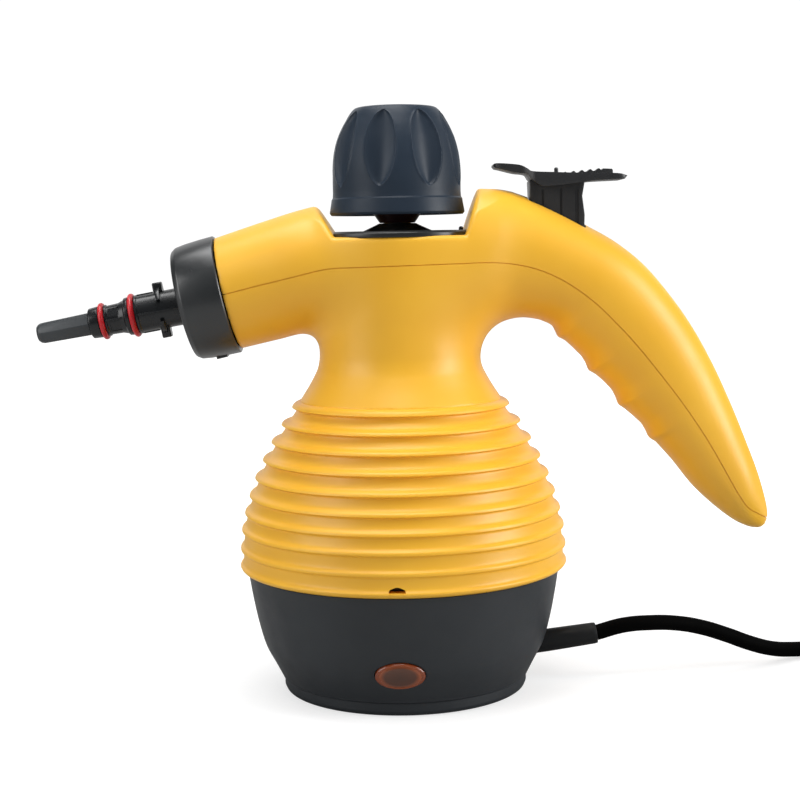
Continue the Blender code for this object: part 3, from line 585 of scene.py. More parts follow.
def studio():
    """A softbox on either side of the camera, one overhead, and a white wall behind the object."""
    lamp("left_softbox", (-1.1, -0.62, 0.62), (0.0, 0.0, 0.13), (0.7, 1.0), 8.0)
    lamp("right_softbox", (1.25, -0.38, 0.5), (0.02, 0.0, 0.13), (0.6, 1.0), 15.5)
    lamp("top_softbox", (-0.1, -0.05, 1.3), (0.02, 0.0, 0.15), (1.1, 0.7), 14.0)
    lamp("white_wall", (0.0, 1.6, 0.8), (0.0, 0.0, 0.2), (3.0, 1.8), 13.0)
    world = bpy.data.worlds.new("studio")
    world.use_nodes = True
    tree = world.node_tree
    wired(tree, tree.nodes["Background"], {"Color": WHITE, "Strength": camera_only(tree, 1.05, 0.15)})
    bpy.context.scene.world = world
    bpy.context.scene.view_settings.view_transform = "Standard"


def floor():
    """A plain floor, nearly white to the camera and a middle grey to the object."""
    finish, tree, main = shader("floor", 0.95)
    shade(tree, main, noise(tree, 3, 2), (0.3, (174, 174, 174)), (0.7, (178, 178, 178)))
    wired(tree, main, {"Emission Color": WHITE, "Emission Strength": camera_only(tree, paleness(tree), 0.0)})
    obj = solid("floor", block((-3000, -3000, -40), (3000, 3000, 0)))
    obj.data.materials.append(finish)


# Mains lead

def eased(value, low, high):
    """0 below low, 1 above high, and a smooth rise between."""
    t = np.clip((value - low) / (high - low), 0, 1)
    return t * t * (3 - 2 * t)


def coil_centre():
    high = box("cord_coil")[1]
    return high.x - COIL_RADIUS - CORD_RADIUS, high.y - COIL_RADIUS - CORD_RADIUS


def coil_points():
    """Four turns inwards on the floor, a climb, then outwards on top: each turn steps over by one pitch."""
    x, y = coil_centre()
    points = []
    for number in range(int(COIL_TURNS * COIL_STEPS) + 1):
        turn = number / COIL_STEPS
        steps_in = sum(eased(turn, k + 0.65, k + 0.98) for k in range(3))
        steps_out = sum(eased(turn, k + 0.27, k + 0.53) for k in (4, 5, 6))
        climb = eased(turn, 3.53, 3.88)
        radius = COIL_RADIUS - COIL_PITCH * (steps_in - steps_out)
        angle = pi / 2 - 2 * pi * turn
        height = CORD_ROUTE[-1][2] + COIL_PITCH * climb
        points.append((x + radius * cos(angle), y + radius * sin(angle), height))
    return points


def cord_curve():
    """The whole lead as one curve from the gland to the plug."""
    points = CORD_ROUTE + coil_points() + TAIL_ROUTE
    curve = bpy.data.curves.new("mains_cord", "CURVE")
    curve.dimensions = "3D"
    curve.bevel_depth = CORD_DIAMETER / 2 * MM
    curve.bevel_resolution = 6
    curve.resolution_u = 8
    curve.use_fill_caps = True
    line = curve.splines.new("BEZIER")
    line.bezier_points.add(len(points) - 1)
    for target, point in zip(line.bezier_points, points):
        target.co = Vector(point) * MM
        target.handle_left_type = target.handle_right_type = "AUTO"
    return placed("mains_cord", curve)


def coil_tie():
    """A soft strap around the coil's turns, on the side away from the cord's ends."""
    x, y = coil_centre()
    top = box("cord_coil")[1].z
    inner, outer = COIL_RADIUS - 3 * COIL_PITCH - CORD_DIAMETER / 2, COIL_RADIUS + CORD_DIAMETER / 2
    loop = rounded([(inner - 0.9, 0.05, 3.6), (outer + 0.9, 0.05, 3.6), (outer + 0.9, top + 0.9, 3.6),
                    (inner - 0.9, top + 0.9, 3.6)], True)
    hole = rounded([(inner, 0.7, 3), (outer, 0.7, 3), (outer, top, 3), (inner, top, 3)], True)
    strap = solid("coil_tie", prism(loop, -TIE_HALF, TIE_HALF))
    boolean(strap, prism(hole, -TIE_HALF - 4, TIE_HALF + 4), solver="EXACT")
    bevel(strap, 0.25, 2)
    strap.matrix_world = Matrix.Translation(Vector((x, y, 0)) * MM) @ Matrix.Rotation(radians(225), 4, "Z")
    return strap


def rear_middle(node):
    """The middle of a piece's rear face."""
    low, high = box(node)
    return (low.x + high.x) / 2, high.y, (low.z + high.z) / 2


def plug_profile(radius):
    """A ribbed sleeve that widens into a round head."""
    sleeve = [(0, 0), (4.4, 0, 0.4), (4.7, 2)]
    for i in range(PLUG_RIBS):
        start = 3.0 + 2.6 * i
        wide = 4.9 + 0.34 * i
        sleeve += [(wide, start, 0.3), (wide + 0.1, start + 1.5, 0.3), (wide - 0.7, start + 1.7, 0.2),
                   (wide - 0.6, start + 2.4, 0.2)]
    head = [(6.6, 16.6, 0.5), (9, 18, 2), (11, 21.5, 3), (radius - 2.2, 25, 3),
            (radius, 28.6, 2), (radius, 39.6, 1.2), (radius - 1, 41, 0.6), (radius - 1.4, 42, 0.5),
            (0, 42)]
    return rounded(sleeve + head)


def plug():
    """A round two-pin plug with grooves around its grip."""
    low, high = box("plug")
    radius = (high.x - low.x) / 2
    body = solid("plug_body", aimed(lathe(plug_profile(radius), 96), rear_middle("plug"), FORWARDS))
    groove = block((-0.7, -0.7, 29.5), (0.7, 0.7, 38.5))
    turns = [2 * pi * i / PLUG_GRIPS for i in range(PLUG_GRIPS)]
    grips = joined(*(moved(groove, (radius * cos(turn), radius * sin(turn), 0)) for turn in turns))
    boolean(body, aimed(grips, rear_middle("plug"), FORWARDS), solver="EXACT")
    for side in ("left", "right"):
        pin = middle(f"plug_pin_{side}")
        socket = aimed(rod(2.6, 0, 20, 32), (pin.x, low.y + 8.2, pin.z), FORWARDS)
        boolean(body, socket, solver="EXACT")
    return bevel(body, 0.2, 2, 50)


def plug_pin(side):
    """A round pin with an insulating sleeve on its root."""
    low, high = box(f"plug_pin_{side}")
    radius, long = (high.x - low.x) / 2, high.y - low.y
    profile = rounded([(0, 0), (radius, 0, 0.2), (radius, 17, 0.15), (radius - 0.25, 17.2),
                       (radius - 0.25, long - 2, 0.8), (radius - 1.2, long, 0.6), (0, long)])
    return solid(f"pin_{side}", aimed(lathe(profile, 48), rear_middle(f"plug_pin_{side}"), FORWARDS))


def mains_lead():
    """The lead with its gland, tie and plug."""
    gland = cord_gland()
    sheath = cord_sheath()
    cord = dress(cord_curve(), sheath, "cord_sheath", "power_cord", "cord_coil", "cord_tail")
    tie = dress(coil_tie(), rubber(), "black_rubber")
    body = dress(plug(), sheath, "cord_sheath", "plug")
    brass = metal("plated_brass", (196, 188, 160), (218, 210, 186), (0.2, 0.32))
    pins = [dress(plug_pin(side), brass, "brass", f"plug_pin_{side}") for side in ("left", "right")]


def gland_frame():
    """Where the strain relief leaves the base, and the way it points."""
    return Vector(GLAND_AT), Vector((cos(GLAND_TILT), 0.0, sin(GLAND_TILT)))


def cord_gland():
    at, way = gland_frame()
    profile = rounded([(0, -9), (5.8, -9), (5.8, -7.4), (5, -7.4), (5, 6), (4.85, 16),
                       (4.7, GLAND_LENGTH - 1.2, 0.3), (4.5, GLAND_LENGTH, 0.4),
                       (3.6, GLAND_LENGTH), (3.6, GLAND_LENGTH - 3), (0, GLAND_LENGTH - 3)])
    body = solid("strain_relief", aimed(lathe(profile, 72), at, way))
    return dress(body, rubber(), "black_rubber", "cord_gland")


# Housing

def nearest(points, curve):
    """Distance from each point to a curve of short straight pieces, and where on it the closest point is."""
    distance = np.empty(len(points), np.float32)
    number = np.empty(len(points), np.float32)
    spans = curve[1:] - curve[:-1]
    lengths = (spans ** 2).sum(1)
    for first in range(0, len(points), 4096):
        part = points[first:first + 4096, None, :] - curve[None, :-1, :]
        share = np.clip((part * spans).sum(2) / lengths, 0, 1)
        square = ((part - share[:, :, None] * spans) ** 2).sum(2)
        best = square.argmin(1)
        rows = np.arange(len(best))
        distance[first:first + 4096] = np.sqrt(square[rows, best])
        number[first:first + 4096] = best + share[rows, best]
    return distance, number


def inside(points, outline):
    """Which points lie inside a closed outline."""
    odd = np.zeros(len(points), bool)
    x, z = points[:, 0], points[:, 1]
    for (ax, az), (bx, bz) in zip(outline, np.roll(outline, -1, 0)):
        if az != bz:
            odd ^= ((az > z) != (bz > z)) & (x < (bx - ax) * (z - az) / (bz - az) + ax)
    return odd


def blended(a, b, radius):
    """The smaller of two fields, with the crease between them filled."""
    share = np.clip(0.5 + 0.5 * (b - a) / radius, 0, 1)
    return b + (a - b) * share - radius * share * (1 - share)


def softened(values, shape, reach=14):
    """A plane of values as a column, evened out over some cells each way."""
    kernel = np.hanning(2 * reach + 3)[1:-1]
    kernel /= kernel.sum()

    def even(row):
        return np.convolve(np.pad(row, reach, "edge"), kernel, "valid")

    plane = np.apply_along_axis(even, 0, values.reshape(shape))
    return np.apply_along_axis(even, 1, plane).reshape(-1, 1).astype(np.float32)


def limb(points, shape, y, top, bottom, half, power):
    """Field of a limb whose side view lies between two curves and whose sections are ovals."""
    per_knot = (len(top) - 1) // (len(half) - 1)
    above, at_top = nearest(points, top)
    below, at_bottom = nearest(points, bottom)
    edge = np.minimum(above, below)
    for end in (0, -1):
        edge = np.minimum(edge, nearest(points, np.array([top[end], bottom[end]]))[0])
    outline = np.concatenate([top, bottom[::-1]])
    depth = np.where(inside(points, outline), edge, -edge)[:, None]
    reach = softened((above + below) / 2, shape)
    width = softened(spline(half, (at_top + at_bottom) / 2 / per_knot), shape)
    across = np.maximum(1 - depth / reach, 0)
    side = np.abs(y)[None, :] / width
    size = (across ** power + side ** power) ** (1 / power)
    slope = np.sqrt((across / reach) ** 2 + (side / width) ** 2)
    return size * (size - 1) / np.maximum(slope, 1e-4)


def beside(curve, offset):
    """A curve moved to its left by an offset, or by one for each point."""
    way = np.gradient(curve, axis=0)
    way /= np.hypot(*way.T)[:, None]
    return curve + np.reshape(offset, (-1, 1)) * np.stack([-way[:, 1], way[:, 0]], 1)


def toothed(edge):
    """The grip's edge with its finger ridges."""
    steps = np.hypot(*np.diff(edge, axis=0).T)
    along = np.concatenate([[0], np.cumsum(steps)])
    along -= along[np.argmin(np.abs(edge[:, 0] - TOOTH_START))]
    table = [(-9, 0), (-5, -0.6)]
    for number, height in enumerate(TOOTH_HEIGHTS[:-1]):
        table += [((number + share) * TOOTH_PITCH, value) for share, value in [(0, height)] + TOOTH]
    end = (len(TOOTH_HEIGHTS) - 1) * TOOTH_PITCH
    table += [(end, TOOTH_HEIGHTS[-1]), (end + 3.2, -0.5), (end + 15, -0.6), (end + 30, 0)]
    return beside(edge, -np.interp(along, *np.array(table).T))


def housing_field():
    """The whole housing above the ribs as a field on a grid, negative inside."""
    axes = [np.arange(low, high + GRID / 2, GRID, dtype=np.float32) for low, high in zip(GRID_LOW, GRID_HIGH)]
    x, y, z = axes
    y = y[y > -GRID / 2]
    plane = np.stack(np.meshgrid(x, z, indexing="ij"), -1).reshape(-1, 2)
    shape = (len(x), len(z), len(y))
    low = smooth(SPOUT_BOTTOM, 12)
    spout = limb(plane, shape[:2], y, smooth(SPOUT_TOP, 12), low, SPOUT_HALF, SPOUT_POWER).reshape(shape)
    grip = toothed(smooth(HANDLE_GRIP, 12))
    handle = limb(plane, shape[:2], y, smooth(HANDLE_TOP, 12), grip, HANDLE_HALF, HANDLE_POWER).reshape(shape)
    seat = mm(mount("accessory_seat")["pos_m"])
    way = np.array((-cos(COLLAR_TILT), -sin(COLLAR_TILT)))
    along = (plane - np.array((seat.x, seat.z))) @ way
    spout = np.maximum(spout, (along + COLLAR_LENGTH + 0.3).reshape(len(x), len(z), 1))
    knots = smooth(NECK)
    radius = np.interp(z, knots[:, 1], knots[:, 0])
    slope = np.gradient(radius, z)
    around = np.sqrt(x[:, None, None] ** 2 + y[None, None, :] ** 2)
    neck = (around - radius[None, :, None]) / np.sqrt(1 + slope ** 2)[None, :, None]
    neck = np.maximum(neck, np.maximum(NECK_BOTTOM - z, z - NECK_TOP)[None, :, None])
    body = blended(blended(neck, spout, SPOUT_BLEND), handle, HANDLE_BLEND)
    cut, _ = nearest(plane, np.array(RECESS + RECESS[:1]))
    cut = np.where(inside(plane, np.array(RECESS)), cut, -cut).reshape(len(x), len(z), 1)
    body = -blended(-body, -np.broadcast_to(cut, body.shape), RECESS_BLEND)
    body = body.transpose(0, 2, 1)
    return np.concatenate([body[:, :0:-1, :], body], 1).astype(np.float32)


def surface_net(field, low, spacing):
    """Points and quads of the surface on which a field is zero."""
    corners = np.array(field.shape)
    numbers, crossings, quads = [], [], []
    for axis in range(3):
        step = np.eye(3, dtype=int)[axis]
        front = tuple(slice(0, -1) if k == axis else slice(1, -1) for k in range(3))
        back = tuple(slice(1, None) if k == axis else slice(1, -1) for k in range(3))
        at = np.argwhere((field[front] < 0) != (field[back] < 0)) + (1 - step)
        a, b = field[tuple(at.T)], field[tuple((at + step).T)]
        point = at.astype(float)
        point[:, axis] += a / (a - b)
        first, second = [k for k in range(3) if k != axis]
        around = []
        for u, v in ((1, 1), (0, 1), (0, 0), (1, 0)):
            cell = at.copy()
            cell[:, first] -= u
            cell[:, second] -= v
            around.append(np.ravel_multi_index(cell.T, corners))
            crossings.append(point)
        numbers += around
        quad = np.stack(around, 1)
        flip = (a >= 0) != (axis == 1)
        quad[flip] = quad[flip][:, ::-1]
        quads.append(quad)
    used, back = np.unique(np.concatenate(numbers), return_inverse=True)
    crossings = np.concatenate(crossings)
    count = np.bincount(back)
    points = np.stack([np.bincount(back, crossings[:, k]) / count for k in range(3)], 1)
    quads = np.searchsorted(used, np.concatenate(quads))
    return settled(points, quads, field) * spacing + np.array(low), quads


def sampled(field, points):
    """A grid's field between its points."""
    low = np.clip(points.astype(int), 0, np.array(field.shape) - 2)
    share = points - low
    total = 0.0
    for corner in np.ndindex(2, 2, 2):
        corner = np.array(corner)
        weight = np.where(corner, share, 1 - share).prod(1)
        total = total + weight * field[tuple((low + corner).T)]
    return total


def settled(points, quads, field, rounds=3):
    """Even out a net's points, and bring them back to where the field is zero."""
    pairs = np.concatenate([quads[:, [k, (k + 1) % 4]] for k in range(4)])
    pairs = np.concatenate([pairs, pairs[:, ::-1]])
    count = np.bincount(pairs[:, 0], minlength=len(points))[:, None]
    for _ in range(rounds):
        near = [np.bincount(pairs[:, 0], points[pairs[:, 1], k], len(points)) for k in range(3)]
        points = 0.4 * points + 0.6 * np.stack(near, 1) / count
        for _ in range(2):
            slope = np.stack([sampled(field, points + step) - sampled(field, points - step)
                              for step in np.eye(3) * 0.5], 1)
            reach = sampled(field, points) / np.maximum((slope ** 2).sum(1), 1e-3)
            points = points - np.clip(reach, -1, 1)[:, None] * slope
    return points


def belly_profile():
    """The belly's outline: a smooth wall with a lip at each rib, steep below it and sloping above."""
    heights = np.array([z for _, z in RIBS])
    body = np.array([r - depth for (r, _), depth in zip(RIBS, RIB_DEPTHS)])
    fine = np.linspace(0, len(RIBS) - 1, 24 * (len(RIBS) - 1) + 1)
    z = spline(heights, fine)
    r = spline(body, fine)
    for (_, height), depth in zip(RIBS, RIB_DEPTHS):
        power = np.where(z < height, 6.0, 3.6)
        r = r + depth / (1 + np.abs((z - height) / RIB_HALF) ** power)
    foot, level = RIBS[0]
    low = [(60.0, BELLY_FOOT[1]), BELLY_FOOT, (foot - 0.9, level - 1.2), (foot - 0.3, level - 0.6)]
    top, level = RIBS[-1]
    high = [(top - 0.25, level + 0.5), (top - 0.8, level + 1), (top - 1.7, level + 1.5),
            (top - 3.2, level + 1.9), (top - 8, level + 2.4), (0, level + 2.4)]
    return [(0.0, BELLY_FOOT[1]), *low, *zip(r, z), *high]


def seam_block(side):
    """A thick plate that takes all of the housing above the seam (side 1) or below it (side -1)."""
    line = smooth(SEAM, 6)
    far = 260 if side > 0 else 40
    return prism([*line, (line[-1][0], far), (line[0][0], far)], -95, 95)


def seam_groove(field):
    """A fine groove along the seam, as deep as a skin taken off the housing."""
    line = smooth(SEAM, 6)
    band = solid("band", prism([*beside(line, SEAM_GAP / 2), *beside(line, -SEAM_GAP / 2)[::-1]], -95, 95))
    core = solid("core", surface_net(field[::2, ::2, ::2] + SEAM_DEPTH, GRID_LOW, 2 * GRID))
    return boolean(band, core)


def stem_slot():
    """The slot that the trigger's stem goes through."""
    (a, b), (c, d) = STEM_SLOT
    return column(rounded([(a, b, 1.5), (c, b, 1.5), (c, d, 1.5), (a, d, 1.5)], True), 188, 226)


def drip_hole():
    """The small arched hole at the belly's foot."""
    half, height = DRIP_HOLE
    arch = rounded([(-half, 0, 0.3), (half, 0, 0.3), (half * 0.86, height * 0.7, 2),
                    (0, height * 1.25, 3), (-half * 0.86, height * 0.7, 2)], True)
    level = BELLY_FOOT[1] + DRIP_HOLE_RISE
    return prism([(x + DRIP_HOLE_X, z + level) for x, z in arch], -76.0, -60.0)


def housing():
    """The two yellow shells, cut apart along the seam."""
    field = housing_field()
    outer = solid("outer", surface_net(field, GRID_LOW, GRID))
    boolean(outer, lathe(belly_profile(), 256), "UNION")
    coarse = field[::2, ::2, ::2] + WALL
    hollow = solid("hollow", surface_net(coarse, GRID_LOW, 2 * GRID))
    cavity = [(0.0, BELLY_CAVITY[0][1]), *smooth(BELLY_CAVITY, 4), (0.0, BELLY_CAVITY[-1][1])]
    boolean(hollow, lathe(cavity, 96), "UNION")
    boolean(outer, hollow)
    boolean(outer, seam_groove(field))
    lower = placed("lower", outer.data.copy())
    boolean(outer, seam_block(1), "INTERSECT")
    boolean(lower, seam_block(-1), "INTERSECT")
    level = box("deck_plate")[0].z
    boolean(outer, rod(NECK_HOLE, level - 9, level + 6, 96))
    boolean(outer, stem_slot())
    boolean(lower, drip_hole())
    for obj, name, node in ((outer, "upper_housing", "upper_shell"), (lower, "lower_housing", "lower_shell")):
        obj.name = obj.data.name = name
        dress(obj, yellow_plastic(), "yellow_housing", node)


# Base

def lens_frame():
    """The middle of the lens's flange and the way that it faces."""
    return Vector(LENS_AT), Vector((0.0, -cos(LENS_LEAN), -sin(LENS_LEAN)))


def oval(shape, half):
    """Stretch a shape turned at radius 1 to an oval."""
    return shape[0] * np.array((*half, 1.0)), shape[1]


def base():
    """The dark cup with its openings for the lens and the gland."""
    foot = rounded([(BOTTOM_BORE, 0.3), (52.9, 0.3, 1.2), (53.7, 2.1, 1), (53.6, 5.6, 0.3),
                    (54.6, 6.3, 0.5), CUP_WALL[0]])
    inner = [(65.6, 53.2), (65.6, 59.4), (63.4, 59.4), (63.4, 50), (61.2, 32), (56.8, 16.6),
             (BOTTOM_BORE, 5.4)]
    cup = solid("base_body", lathe([*foot, *smooth(CUP_WALL, 6)[1:], *inner], 256, ring=True))
    at, way = lens_frame()
    recess = lathe([(0, -0.4), (1, -0.4), (1.1, 6), (0, 6)], 96)
    for gap, shape in ((0.4, rod(1, -9, 6, 96)), (1, recess)):
        size = (LENS_HALF[0] + gap, LENS_HALF[1] + gap)
        boolean(cup, aimed(oval(shape, size), at, way))
    for hole in (rod(GLAND_HOLE, -14, 8, 64), rod(GLAND_SEAT, -22, -7, 64)):
        boolean(cup, aimed(hole, *gland_frame()))
    dress(cup, dark_plastic(), "dark_housing", "base_cup")


def lens():
    """A low dome inside a raised rim."""
    dome = [(0, 1.7), (0.3, 1.62), (0.55, 1.36), (0.74, 0.95), (0.82, 0.62), (0.86, 0.5), (0.9, 0.62),
            (0.96, 0.5), (1, 0.1)]
    profile = [*smooth(dome, 4), (1, -2.6), (0, -2.6)]
    body = solid("indicator_window", aimed(oval(lathe(profile, 96), LENS_HALF), *lens_frame()))
    dress(body, amber_lens(), "amber_lens", "indicator_lens")


# Spout and nozzle

def collar_frame():
    """The middle of the collar's rear edge and the way that the spout points."""
    seat = mount("accessory_seat")
    way = Vector(seat["axis"])
    up = Vector((way.z, 0.0, -way.x))
    return mm(seat["pos_m"]) - way * COLLAR_LENGTH - up * COLLAR_MOUNT_RISE, way


def collar():
    """The dark ring on the spout, with a small tab below."""
    at, way = collar_frame()
    profile = rounded([(23.1, 0.5), (25.5, 0, 0.2), (26, 0.5, 0.3), (25.85, 6), (25.4, 13),
                       (24.8, 17.2, 1.6), (23.4, COLLAR_LENGTH, 1.2), (10.6, COLLAR_LENGTH, 0.5),
                       (10, COLLAR_LENGTH - 0.8), (10, 16.4), (23.1, 16.4)])
    body = solid("spout_collar", aimed(lathe(profile, 192, ring=True), at, way))
    tab = aimed(block((-3.2, -26.4, 6.4), (3.2, -24, 11.2)), at, way)
    boolean(body, tab, "UNION", "EXACT")
    dress(body, collar_plastic(), "dark_housing", "nozzle_collar")


def nozzle_frame():
    """The nozzle's zero, worked out from its two seals, and the way that it points."""
    rear, front = middle("o_ring_rear"), middle("o_ring_front")
    way = (front - rear).normalized()
    return rear - way * O_RING_REAR, way


def on_nozzle(name, shape):
    """A solid from a shape made about Z, put on the nozzle's axis."""
    return solid(name, aimed(shape, *nozzle_frame()))


def lugs():
    """The two bayonet lugs."""
    made = []
    for side in (-1, 1):
        outline = rounded([(-3.6, 5), (3.6, 5), (2.7, 12.2, 1.2), (-2.7, 12.2, 1.2)], True)
        made.append(column([(x, side * y) for x, y in outline], 8.9, 12.9))
    return joined(*made)


def pockets():
    """Four hollows between the seals."""
    made = []
    for turn in (32, 148, 212, 328):
        points, faces = block((6, -2, 28.9), (9, 2, 33.6))
        spin = np.array(Matrix.Rotation(radians(turn), 3, "Z"))
        made.append((points @ spin.T, faces))
    return joined(*made)


def nozzle():
    """The black tube that accessories slide onto."""
    profile = rounded([(0, -20), (3.4, -20), (3.4, -8), (7, -7.6), (7.6, 0), (8.2, 1, 0.3),
                       (8.2, 20.4, 0.2), (8.5, 20.8, 0.2), (8.5, 21.8, 0.2), (7, 22), (7, 24.6),
                       (8.4, 24.8, 0.3), (8.2, 26.4, 0.4), (7.4, 27, 0.3), (6.6, 29.4, 0.8),
                       (6.4, 34.4, 0.4), (6.9, 34.8, 0.2), (6.9, 35.5, 0.2), (5.6, 35.6), (5.6, 38.2),
                       (6.9, 38.4, 0.3), (6.6, 42.4, 0.6), (6, 42.8), (0, 42.8)])
    tube = on_nozzle("nozzle_body", lathe(profile, 128))
    boolean(tube, bevel(on_nozzle("lugs", lugs()), 0.5, 3), "UNION", "EXACT")
    flange = on_nozzle("flange", lathe([(5, 9.9), (10.3, 9.9), (10.3, 11.7), (5, 11.7)], 96, ring=True))
    boolean(flange, on_nozzle("cut", block((-14, -4.6, 6), (14, 4.6, 16))), solver="EXACT")
    boolean(tube, bevel(flange, 0.35, 2), "UNION", "EXACT")
    bars = joined(block((-8.7, -0.45, 1.2), (8.7, 0.45, 20.6)), block((-1, -8.6, 13.5), (1, 8.6, 20.6)),
                  block((-7.2, -0.5, 26.8), (7.2, 0.5, 34.8)))
    boolean(tube, bevel(on_nozzle("bars", bars), 0.2, 2), "UNION", "EXACT")
    boolean(tube, on_nozzle("pockets", pockets()), solver="EXACT")
    dress(tube, gloss_plastic(), "black_trim", "nozzle_tube")


def seal_rings():
    """The two red seals in the tube's grooves."""
    for name, along, groove, thick in (("rear", O_RING_REAR, 7.0, 1.25), ("front", 36.9, 5.6, 1.2)):
        centre = groove + 0.1 + thick
        loop = [(centre + thick * cos(t), along + thick * sin(t)) for t in np.linspace(0, 2 * pi, 25)[:-1]]
        ring = on_nozzle(f"seal_ring_{name}", lathe(loop, 96, ring=True))
        dress(ring, red_silicone(), "red_seal", f"o_ring_{name}")


def jet_tip():
    """A hexagonal bar that narrows a little, turned round at its nose."""
    corners = [(JET_RADIUS * cos(pi * i / 3), JET_RADIUS * sin(pi * i / 3), 0.7) for i in range(6)]
    outline = rounded(corners, True, 3)
    rings = [[(x * share, y * share, z) for x, y in outline] for z, share in JET_ENDS]
    bar = on_nozzle("jet_hex", loft(rings))
    nose = rounded([(0, 43.1), (6.4, 43.1), (6, 57), (5.2, 62, 3), (4.1, 65.4, 1.5),
                    (3.2, 66.4, 0.6), (1.7, 66.4, 0.3), (1.5, 64), (0, 64)])
    boolean(bar, on_nozzle("nose", lathe(nose, 96)), "INTERSECT", "EXACT")
    dress(bar, tip_plastic(), "dark_housing", "jet_tip")


# Filler opening and cap

def deck():
    """A plate with a rim that laps over the front of the neck, cut straight at the walls of the recess."""
    level = RECESS[0][1] + 0.2
    edge = DECK_RADIUS
    plate = rounded([(DECK_BORE, level), (edge - 1.2, level), (edge - 1.2, level - 0.7),
                     (edge, level - 0.7, 0.5), (edge, level + 1.2, 0.8), (edge - 1.8, level + 2.1, 0.8),
                     (edge - 5, level + 1.7, 1), (DECK_BORE, level + 1.7)])
    body = solid("filler_deck", lathe(plate, 192, ring=True))
    left, right = RECESS[0][0] - 0.4, RECESS[1][0] + 0.4
    boolean(body, block((left, -40, level - 4), (right, 40, level + 9)), "INTERSECT")
    stud = rounded([(0, level + 0.8), (1, level + 0.8), (1, level + 3, 0.5), (0.5, level + 3.6, 0.3),
                    (0, level + 3.6)])
    boolean(body, moved(lathe(stud, 32), (RECESS[1][0] - 1.2, -6.0, 0.0)), "UNION")
    dress(body, deck_plastic(), "black_trim", "deck_plate")


def funnel():
    """The low cone around the filler opening."""
    high = box("filler_funnel")[1]
    radius, top, foot = high.x + 0.3, high.z - 0.6, RECESS[0][1] + 1.4
    profile = rounded([(6.6, top), (8, top, 0.3), (9.6, top - 0.8, 1), (radius - 0.5, foot + 0.6, 1),
                       (radius, foot + 0.3, 0.2), (radius, foot), (6.6, foot)])
    cone = solid("filler_cone", lathe(profile, 128, ring=True))
    dress(cone, deck_plastic(), "black_trim", "filler_funnel")


def cap_surface(turn, height, radius):
    """The cap's radius at a turn and height, with its flutes pressed in and a fine rim around each."""
    share = 1 - ((height - FLUTE_Z) / FLUTE_HALF[1]) ** 2
    wide = FLUTE_HALF[0] * max(share, 0.02) ** 0.6
    sector = 2 * pi / FLUTES
    away = (turn - FIRST_FLUTE + sector / 2) % sector - sector / 2
    across = abs(away) * radius / wide
    depth = FLUTE_DEPTH * max(share, 0) ** 0.5 * max(0, 1 - across ** 2)
    past = (across - 1) * wide
    rim = FLUTE_RIM * exp(-(past / FLUTE_RIM_HALF) ** 2) * min(1.0, max(0, share * 6))
    return radius - depth + rim


def cap():
    """The safety cap: a skirt, and a flank that the flutes are pressed into."""
    low, high = box("cap_shell")
    foot = low.z - 0.5
    side = rounded([(CAP_SKIRT - 0.8, foot), (CAP_SKIRT, foot + 1, 0.8), (28.5, 213), (28.35, 214.2, 0.3),
                    (27.85, 214.9, 0.3), (27.7, 217)])
    flank = [(27.7, 217), (27.7, 222), (27.5, 228), (26.8, 234), (25.4, 239.6), (23.4, 244.4),
             (21.3, 248.3), (19.9, 250.6), (18.4, 252.4), (16.6, 253.4), (12, 253.8), (0, high.z + 0.8)]
    inner = rounded([(0, 246), (17, 245, 2), (22.4, 232, 2), (22.9, 226.6), (9.4, 226.6),
                     (9.4, 223.6), (23.6, 223.6), (26.6, low.z + 3), (27.6, foot)])
    points, faces = lathe([*inner, *side, *smooth(flank, FLANK_STEPS)[1:]], CAP_STEPS)
    first = 1 + (len(inner) + len(side) - 1) * CAP_STEPS
    for point in points[first:]:
        radius = np.hypot(point[0], point[1])
        if radius > 12.0:
            point[:2] *= cap_surface(np.arctan2(point[1], point[0]), point[2], radius) / radius
    body = solid("cap_body", (points, faces))
    dress(body, cap_plastic(), "dark_housing", "cap_shell", body="cap_shell")


def seal():
    """The seal under the cap, a cup that narrows towards the cone."""
    low, high = box("cap_seal")
    foot = low.z - 0.8
    profile = rounded([(SEAL_BORE, foot), (7.6, foot, 0.4), (8.5, foot + 1.2, 1), (10.5, foot + 4.2, 1),
                       (10.5, high.z, 0.3), (SEAL_BORE, high.z)])
    cup = solid("seal_body", lathe(profile, 96, ring=True))
    dress(cup, maroon_silicone(), "maroon_seal", "cap_seal", body="cap_seal")


# Trigger

def trigger_plate():
    """The thumb plate: its side view, cut to its plan, with a dish for the thumb's tip."""
    low, high = box("trigger")
    plate = solid("trigger_body", prism([*smooth(TRIGGER_TOP, 5), *smooth(TRIGGER_UNDER, 5)], -16, 16))
    plan = rounded([(low.x - 1, -TONGUE_HALF, 9), (54, -TONGUE_HALF, 6), (59, low.y, 5),
                    (high.x + 1, low.y, 6), (high.x + 1, high.y, 6), (59, high.y, 5),
                    (54, TONGUE_HALF, 6), (low.x - 1, TONGUE_HALF, 9)], True)
    boolean(plate, column(plan, 210, 236), "INTERSECT")
    bevel(plate, 0.7, 3, 40)
    bowl = [(0, -1), (0.55, -0.84), (0.84, -0.55), (1, 0), (0.84, 0.55), (0.55, 0.84), (0, 1)]
    dish = solid("dish", lathe(bowl, 64))
    turn = Matrix.Rotation(radians(4), 4, "Y")
    dish.matrix_world = Matrix.Translation(Vector(DISH_AT) * MM) @ turn @ Matrix.Diagonal((*DISH_HALF, 1))
    return boolean(plate, dish)


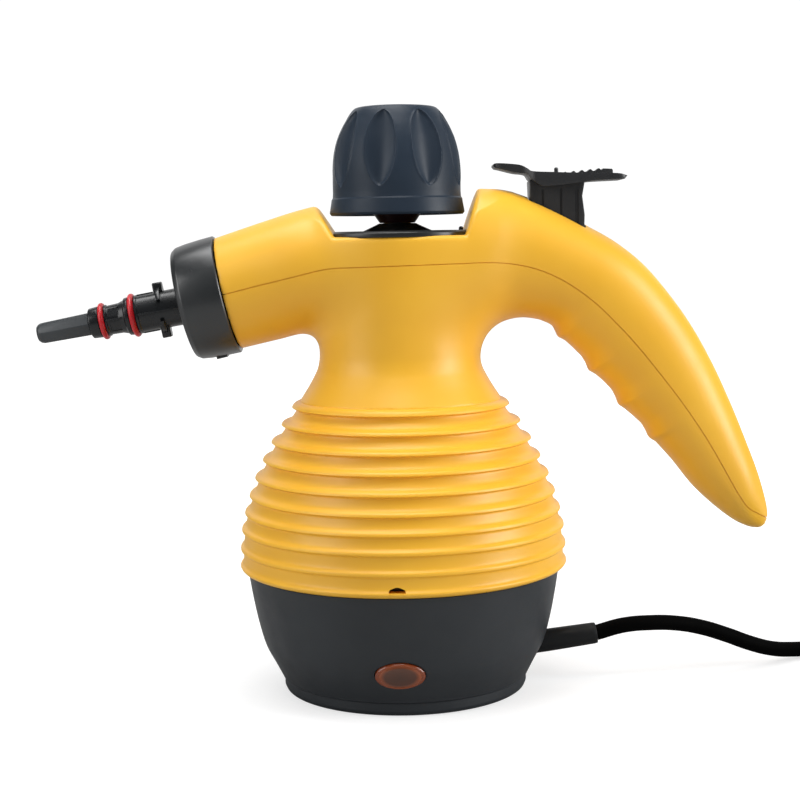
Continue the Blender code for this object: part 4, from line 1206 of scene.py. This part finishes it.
def trigger_stem():
    """The stem, with three grooves down each side."""
    stem = solid("stem", prism(rounded([(*p, 0.8) for p in STEM], True), -8.0, 8.0))
    bevel(stem, 0.6, 2, 40)
    grooves = []
    for x, wide in ((62.6, 0.5), (70.4, 0.5), (77.2, 0.8)):
        for y in (-8.6, 7.6):
            grooves.append(block((x - wide, y, 190), (x + wide, y + 1, 217)))
    return boolean(stem, joined(*grooves))


def trigger():
    """The plate and its stem, with a peg, a pocket for the valve's spring and a groove for the slide."""
    body = trigger_plate()
    boolean(body, trigger_stem(), "UNION")
    peg = rounded([(0, 222), (0.9, 222), (0.9, 226.1, 0.5), (0.5, 226.6, 0.3), (0, 226.6)])
    boolean(body, moved(lathe(peg, 24), (69.2, 0, 0)), "UNION")
    boolean(body, moved(rod(6.3, 190, 198.8, 48), (SPRING_AXIS, 0, 0)))
    boolean(body, block((71.7, -3.3, 222.3), (97, 3.3, 230)))
    dress(body, trigger_plastic(), "black_trim", "trigger", body="trigger")


def trigger_lock():
    """A thumb slide with ridges that rise to a stop at its rear."""
    low, high = box("trigger_lock")
    outline = [(low.x, low.z), (high.x, low.z), (high.x, 224.9), (high.x - 0.4, 225.5), (89.2, 225.7),
               (88.6, 225)]
    for i in range(5):
        x, z = 87.3 - 3.6 * i, 226.0 - 0.32 * i
        outline += [(x + 1.1, z - 1, 0.4), (x, z, 0.5), (x - 1.1, z - 1, 0.4)]
    body = solid("lock_slide", prism(rounded(outline + [(low.x, 223.9)], True, 3), low.y, high.y))
    bevel(body, 0.2, 2, 50)
    dress(body, trigger_plastic(), "black_trim", "trigger_lock", body="trigger_lock")


def inner_parts():
    """The frame's own pieces that stay as they are get real finishes."""
    finishes = inner_finishes()
    for part in frame["record"]["subparts"]:
        obj = frame["nodes"].get(part["node"])
        if obj and not obj.hide_render:
            obj.data.materials.clear()
            obj.data.materials.append(finishes[part["material_slot"]])


def build():
    camera()
    studio()
    floor()
    mains_lead()
    housing()
    base()
    lens()
    collar()
    nozzle()
    seal_rings()
    jet_tip()
    deck()
    funnel()
    cap()
    seal()
    trigger()
    trigger_lock()
    inner_parts()


build()
